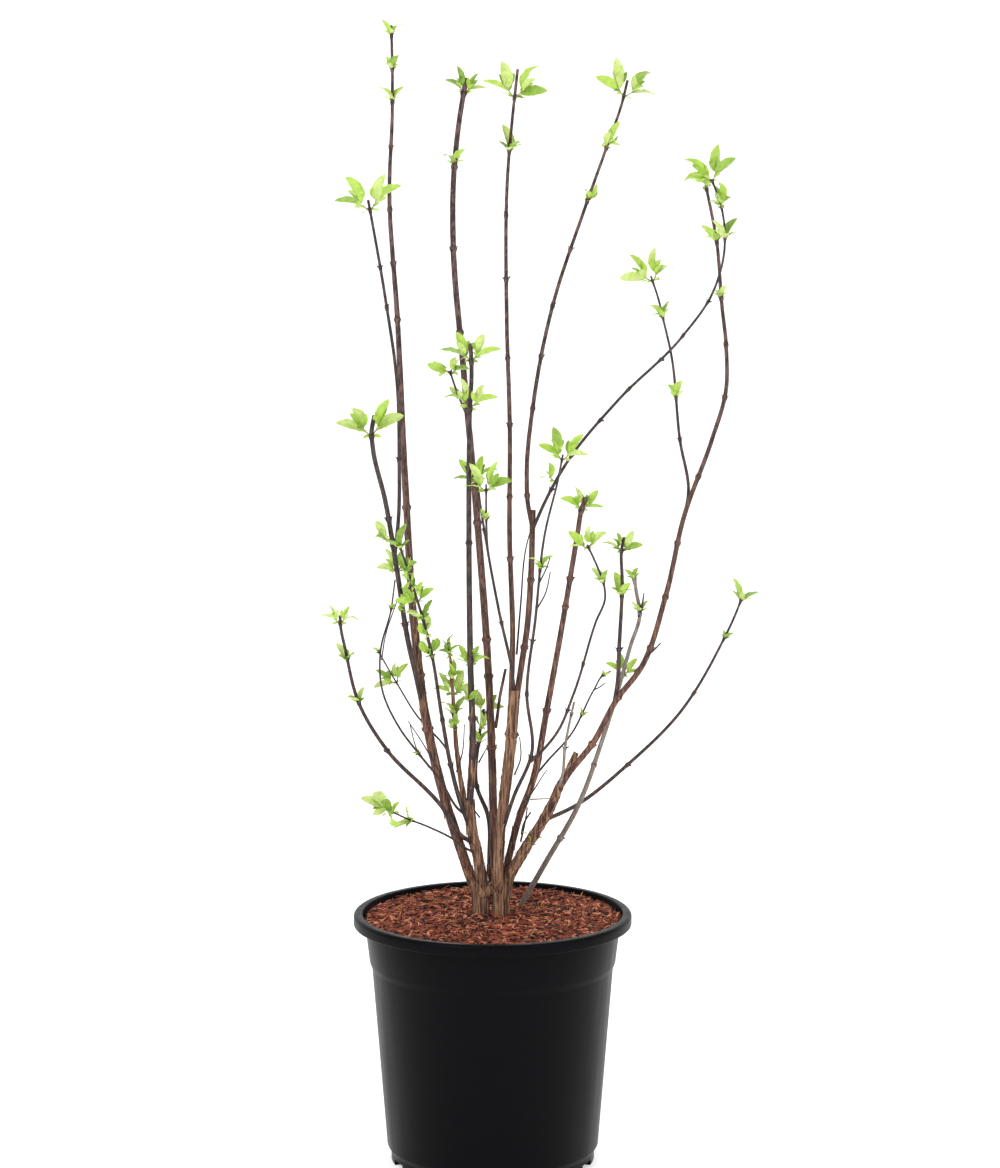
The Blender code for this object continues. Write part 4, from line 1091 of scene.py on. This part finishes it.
def strew_fibres(materials):
    """Loose fibres all over the bed, in three shades."""
    disc = turned("field", [(0, MIX_TOP), (MIX_EDGE_RADIUS - FIBRE_MARGIN, MIX_TOP)], FIBRE_FIELD_SIDES)
    field = bmesh.new()
    field.from_mesh(disc.data)
    bpy.data.objects.remove(disc)
    bmesh.ops.subdivide_edges(field, edges=field.edges, cuts=FIBRE_FIELD_CUTS, use_grid_fill=True)
    for corner in field.verts:
        corner.co.z = mix_height(corner.co) + FIBRE_LIFT
    bmesh.ops.recalc_face_normals(field, faces=field.faces)
    surface = bpy.data.meshes.new("fibre_field")
    field.to_mesh(surface)
    field.free()
    fibres = fibre_patterns()
    tree = fibre_tree()
    # A piece for each colour; the pale fibres carry painted highlights, the dark ones painted shade
    for number, (shade, share) in enumerate(FIBRE_SHADES):
        strewn = run_tree("mulch_" + shade, surface, tree, {
            "Fibres": fibres, "Per square metre": FIBRES_PER_SQUARE_METRE * share, "Seed": SEED + number,
            "Material": materials[shade]})
        settle(strewn, ["potting_mix"])


def fibre_pattern(name, length, width, thick, bend):
    """One torn fibre: a bent four-sided bar that narrows to both ends."""
    shape = bmesh.new()
    hoops = []
    for k in range(4):
        t = k / 3
        half = width / 2 * (0.35 + 0.65 * math.sin(math.pi * (0.15 + 0.7 * t)))
        middle = Vector(((t - 0.5) * length, 0, bend * math.sin(math.pi * t)))
        corners = ((half, thick / 2), (-half, thick / 2), (-half, -thick / 2), (half, -thick / 2))
        hoops.append([shape.verts.new(middle + Vector((0, y, z))) for y, z in corners])
    for low, high in zip(hoops, hoops[1:]):
        for k in range(4):
            shape.faces.new((low[k], low[(k + 1) % 4], high[(k + 1) % 4], high[k]))
    shape.faces.new(hoops[0])
    shape.faces.new(hoops[-1])
    return as_object(shape, name)


def fibre_patterns():
    """One piece of shredded bark of each kind."""
    return hidden_group("fibre_patterns", [
        fibre_pattern(name, *(size * MM for size in sizes)) for name, *sizes in FIBRE_KINDS])


def limbs_of(bark):
    """The solids of wood with a bark."""
    names = [name for name, row in STEMS.items() if row.bark == bark and name not in SPRAYS]
    return (["crown"] if bark == OLD_BARK else []) + names


def leafy_nodes():
    """The solids of leafy tops, sprays and sprigs."""
    leafy = [name for name in STEMS if name not in BARE_STEMS]
    return [name if name in SPRAYS else name + "_top" for name in leafy] + list(SPRIGS)


def make_stems(materials):
    """The bark of every stem, a piece for each kind of bark, and the strips that peel from the old wood."""
    tree = bark_tree()
    runs = stem_runs() + crown_runs()
    for bark, (height, grain) in RELIEF.items():
        mesh = lines_mesh(bark + "_lines", [run for run in runs if run[0] == bark])
        piece = run_tree("stems_" + bark, mesh, tree, {
            "Sides": STEM_SIDES, "Relief": height, "Grain per metre": grain, "Material": materials[bark]})
        settle(piece, limbs_of(bark))
    settle(peel_bark(), ["crown"], materials[OLD_BARK])


def make_foliage(materials):
    """Leaves in three greens, the green shoots that carry them, and the brown bud scales."""
    leaves, shoots, buds = grow_foliage()
    patterns = leaf_patterns()
    tree = leaf_tree()
    nodes = leafy_nodes()
    for green, found in leaves.items():
        piece = run_tree("leaves_" + green, points_mesh(green, found), tree, {
            "Leaves": patterns, "Material": materials[green]})
        settle(piece, nodes)
    scales = run_tree("bud_scales", points_mesh("bud_points", buds), tree, {
        "Leaves": patterns, "Material": materials["bud_brown"]})
    settle(scales, [])
    green_shoots = run_tree("green_shoots", lines_mesh("shoot_lines", shoots), bark_tree(), {
        "Sides": SHOOT_SIDES, "Relief": 0.0, "Grain per metre": 600.0, "Material": materials["shoot_green"]})
    settle(green_shoots, nodes)


def make_backdrop():
    """Matt white paper that curves up behind the plant, glowing a little so that it stays white."""
    material, tree = new_material("paper")
    fleck = streaks(tree, 3.0, 1.0, 1.0)
    finish_surface(tree, tinted(tree, fleck, ((0.3, "#f4f4f4"), (0.7, "#f7f7f7"))), 0.95, **{
        "Emission Color": (1, 1, 1, 1), "Emission Strength": PAPER_GLOW})
    bend = [(ROOM_BACK + y, z) for y, z in rounded((0, ROOM_CURVE), ROOM_CURVE, -90, 0, 24)]
    profile = [(ROOM_FRONT, 0.0)] + bend + [(ROOM_BACK + ROOM_CURVE, ROOM_HEIGHT)]
    shape = bmesh.new()
    sides = [[shape.verts.new((x, y, z)) for y, z in profile] for x in (-ROOM_WIDTH / 2, ROOM_WIDTH / 2)]
    for i in range(len(profile) - 1):
        shape.faces.new((sides[0][i], sides[1][i], sides[1][i + 1], sides[0][i + 1]))
    floor = as_object(shape, "floor", turn_out=False)
    floor.data.shade_smooth()
    floor.data.materials.append(material)


def light_room():
    """An even white sky and the soft boxes, each a square that faces the middle of the plant."""
    world = bpy.data.worlds.new("room")
    bpy.context.scene.world = world
    world.use_nodes = True
    sky = world.node_tree.nodes["Background"].inputs
    sky["Color"].default_value = (1, 1, 1, 1)
    sky["Strength"].default_value = SKY_STRENGTH
    for name, place, width, watts in LIGHTS:
        light = bpy.data.lights.new(name, "AREA")
        light.size = width
        light.energy = watts
        item = linked(name, light)
        item.location = place
        item.rotation_euler = (Vector(LIGHT_AIM) - Vector(place)).to_track_quat("-Z", "Y").to_euler()


def set_camera():
    """The camera of the photo, and plain colours without a film look."""
    camera = linked("camera", bpy.data.cameras.new("camera"))
    camera.location = CAMERA_PLACE
    camera.rotation_euler = (math.radians(90 - CAMERA_PITCH), 0, 0)
    camera.data.sensor_width = SENSOR_MM
    camera.data.lens = LENS_MM
    bpy.context.scene.camera = camera
    bpy.context.scene.view_settings.view_transform = "Standard"


all_materials = make_materials()
make_backdrop()
light_room()
set_camera()
make_pot(all_materials["plastic"])
make_bed(all_materials["mix_bed"])
strew_fibres(all_materials)
make_stems(all_materials)
make_foliage(all_materials)
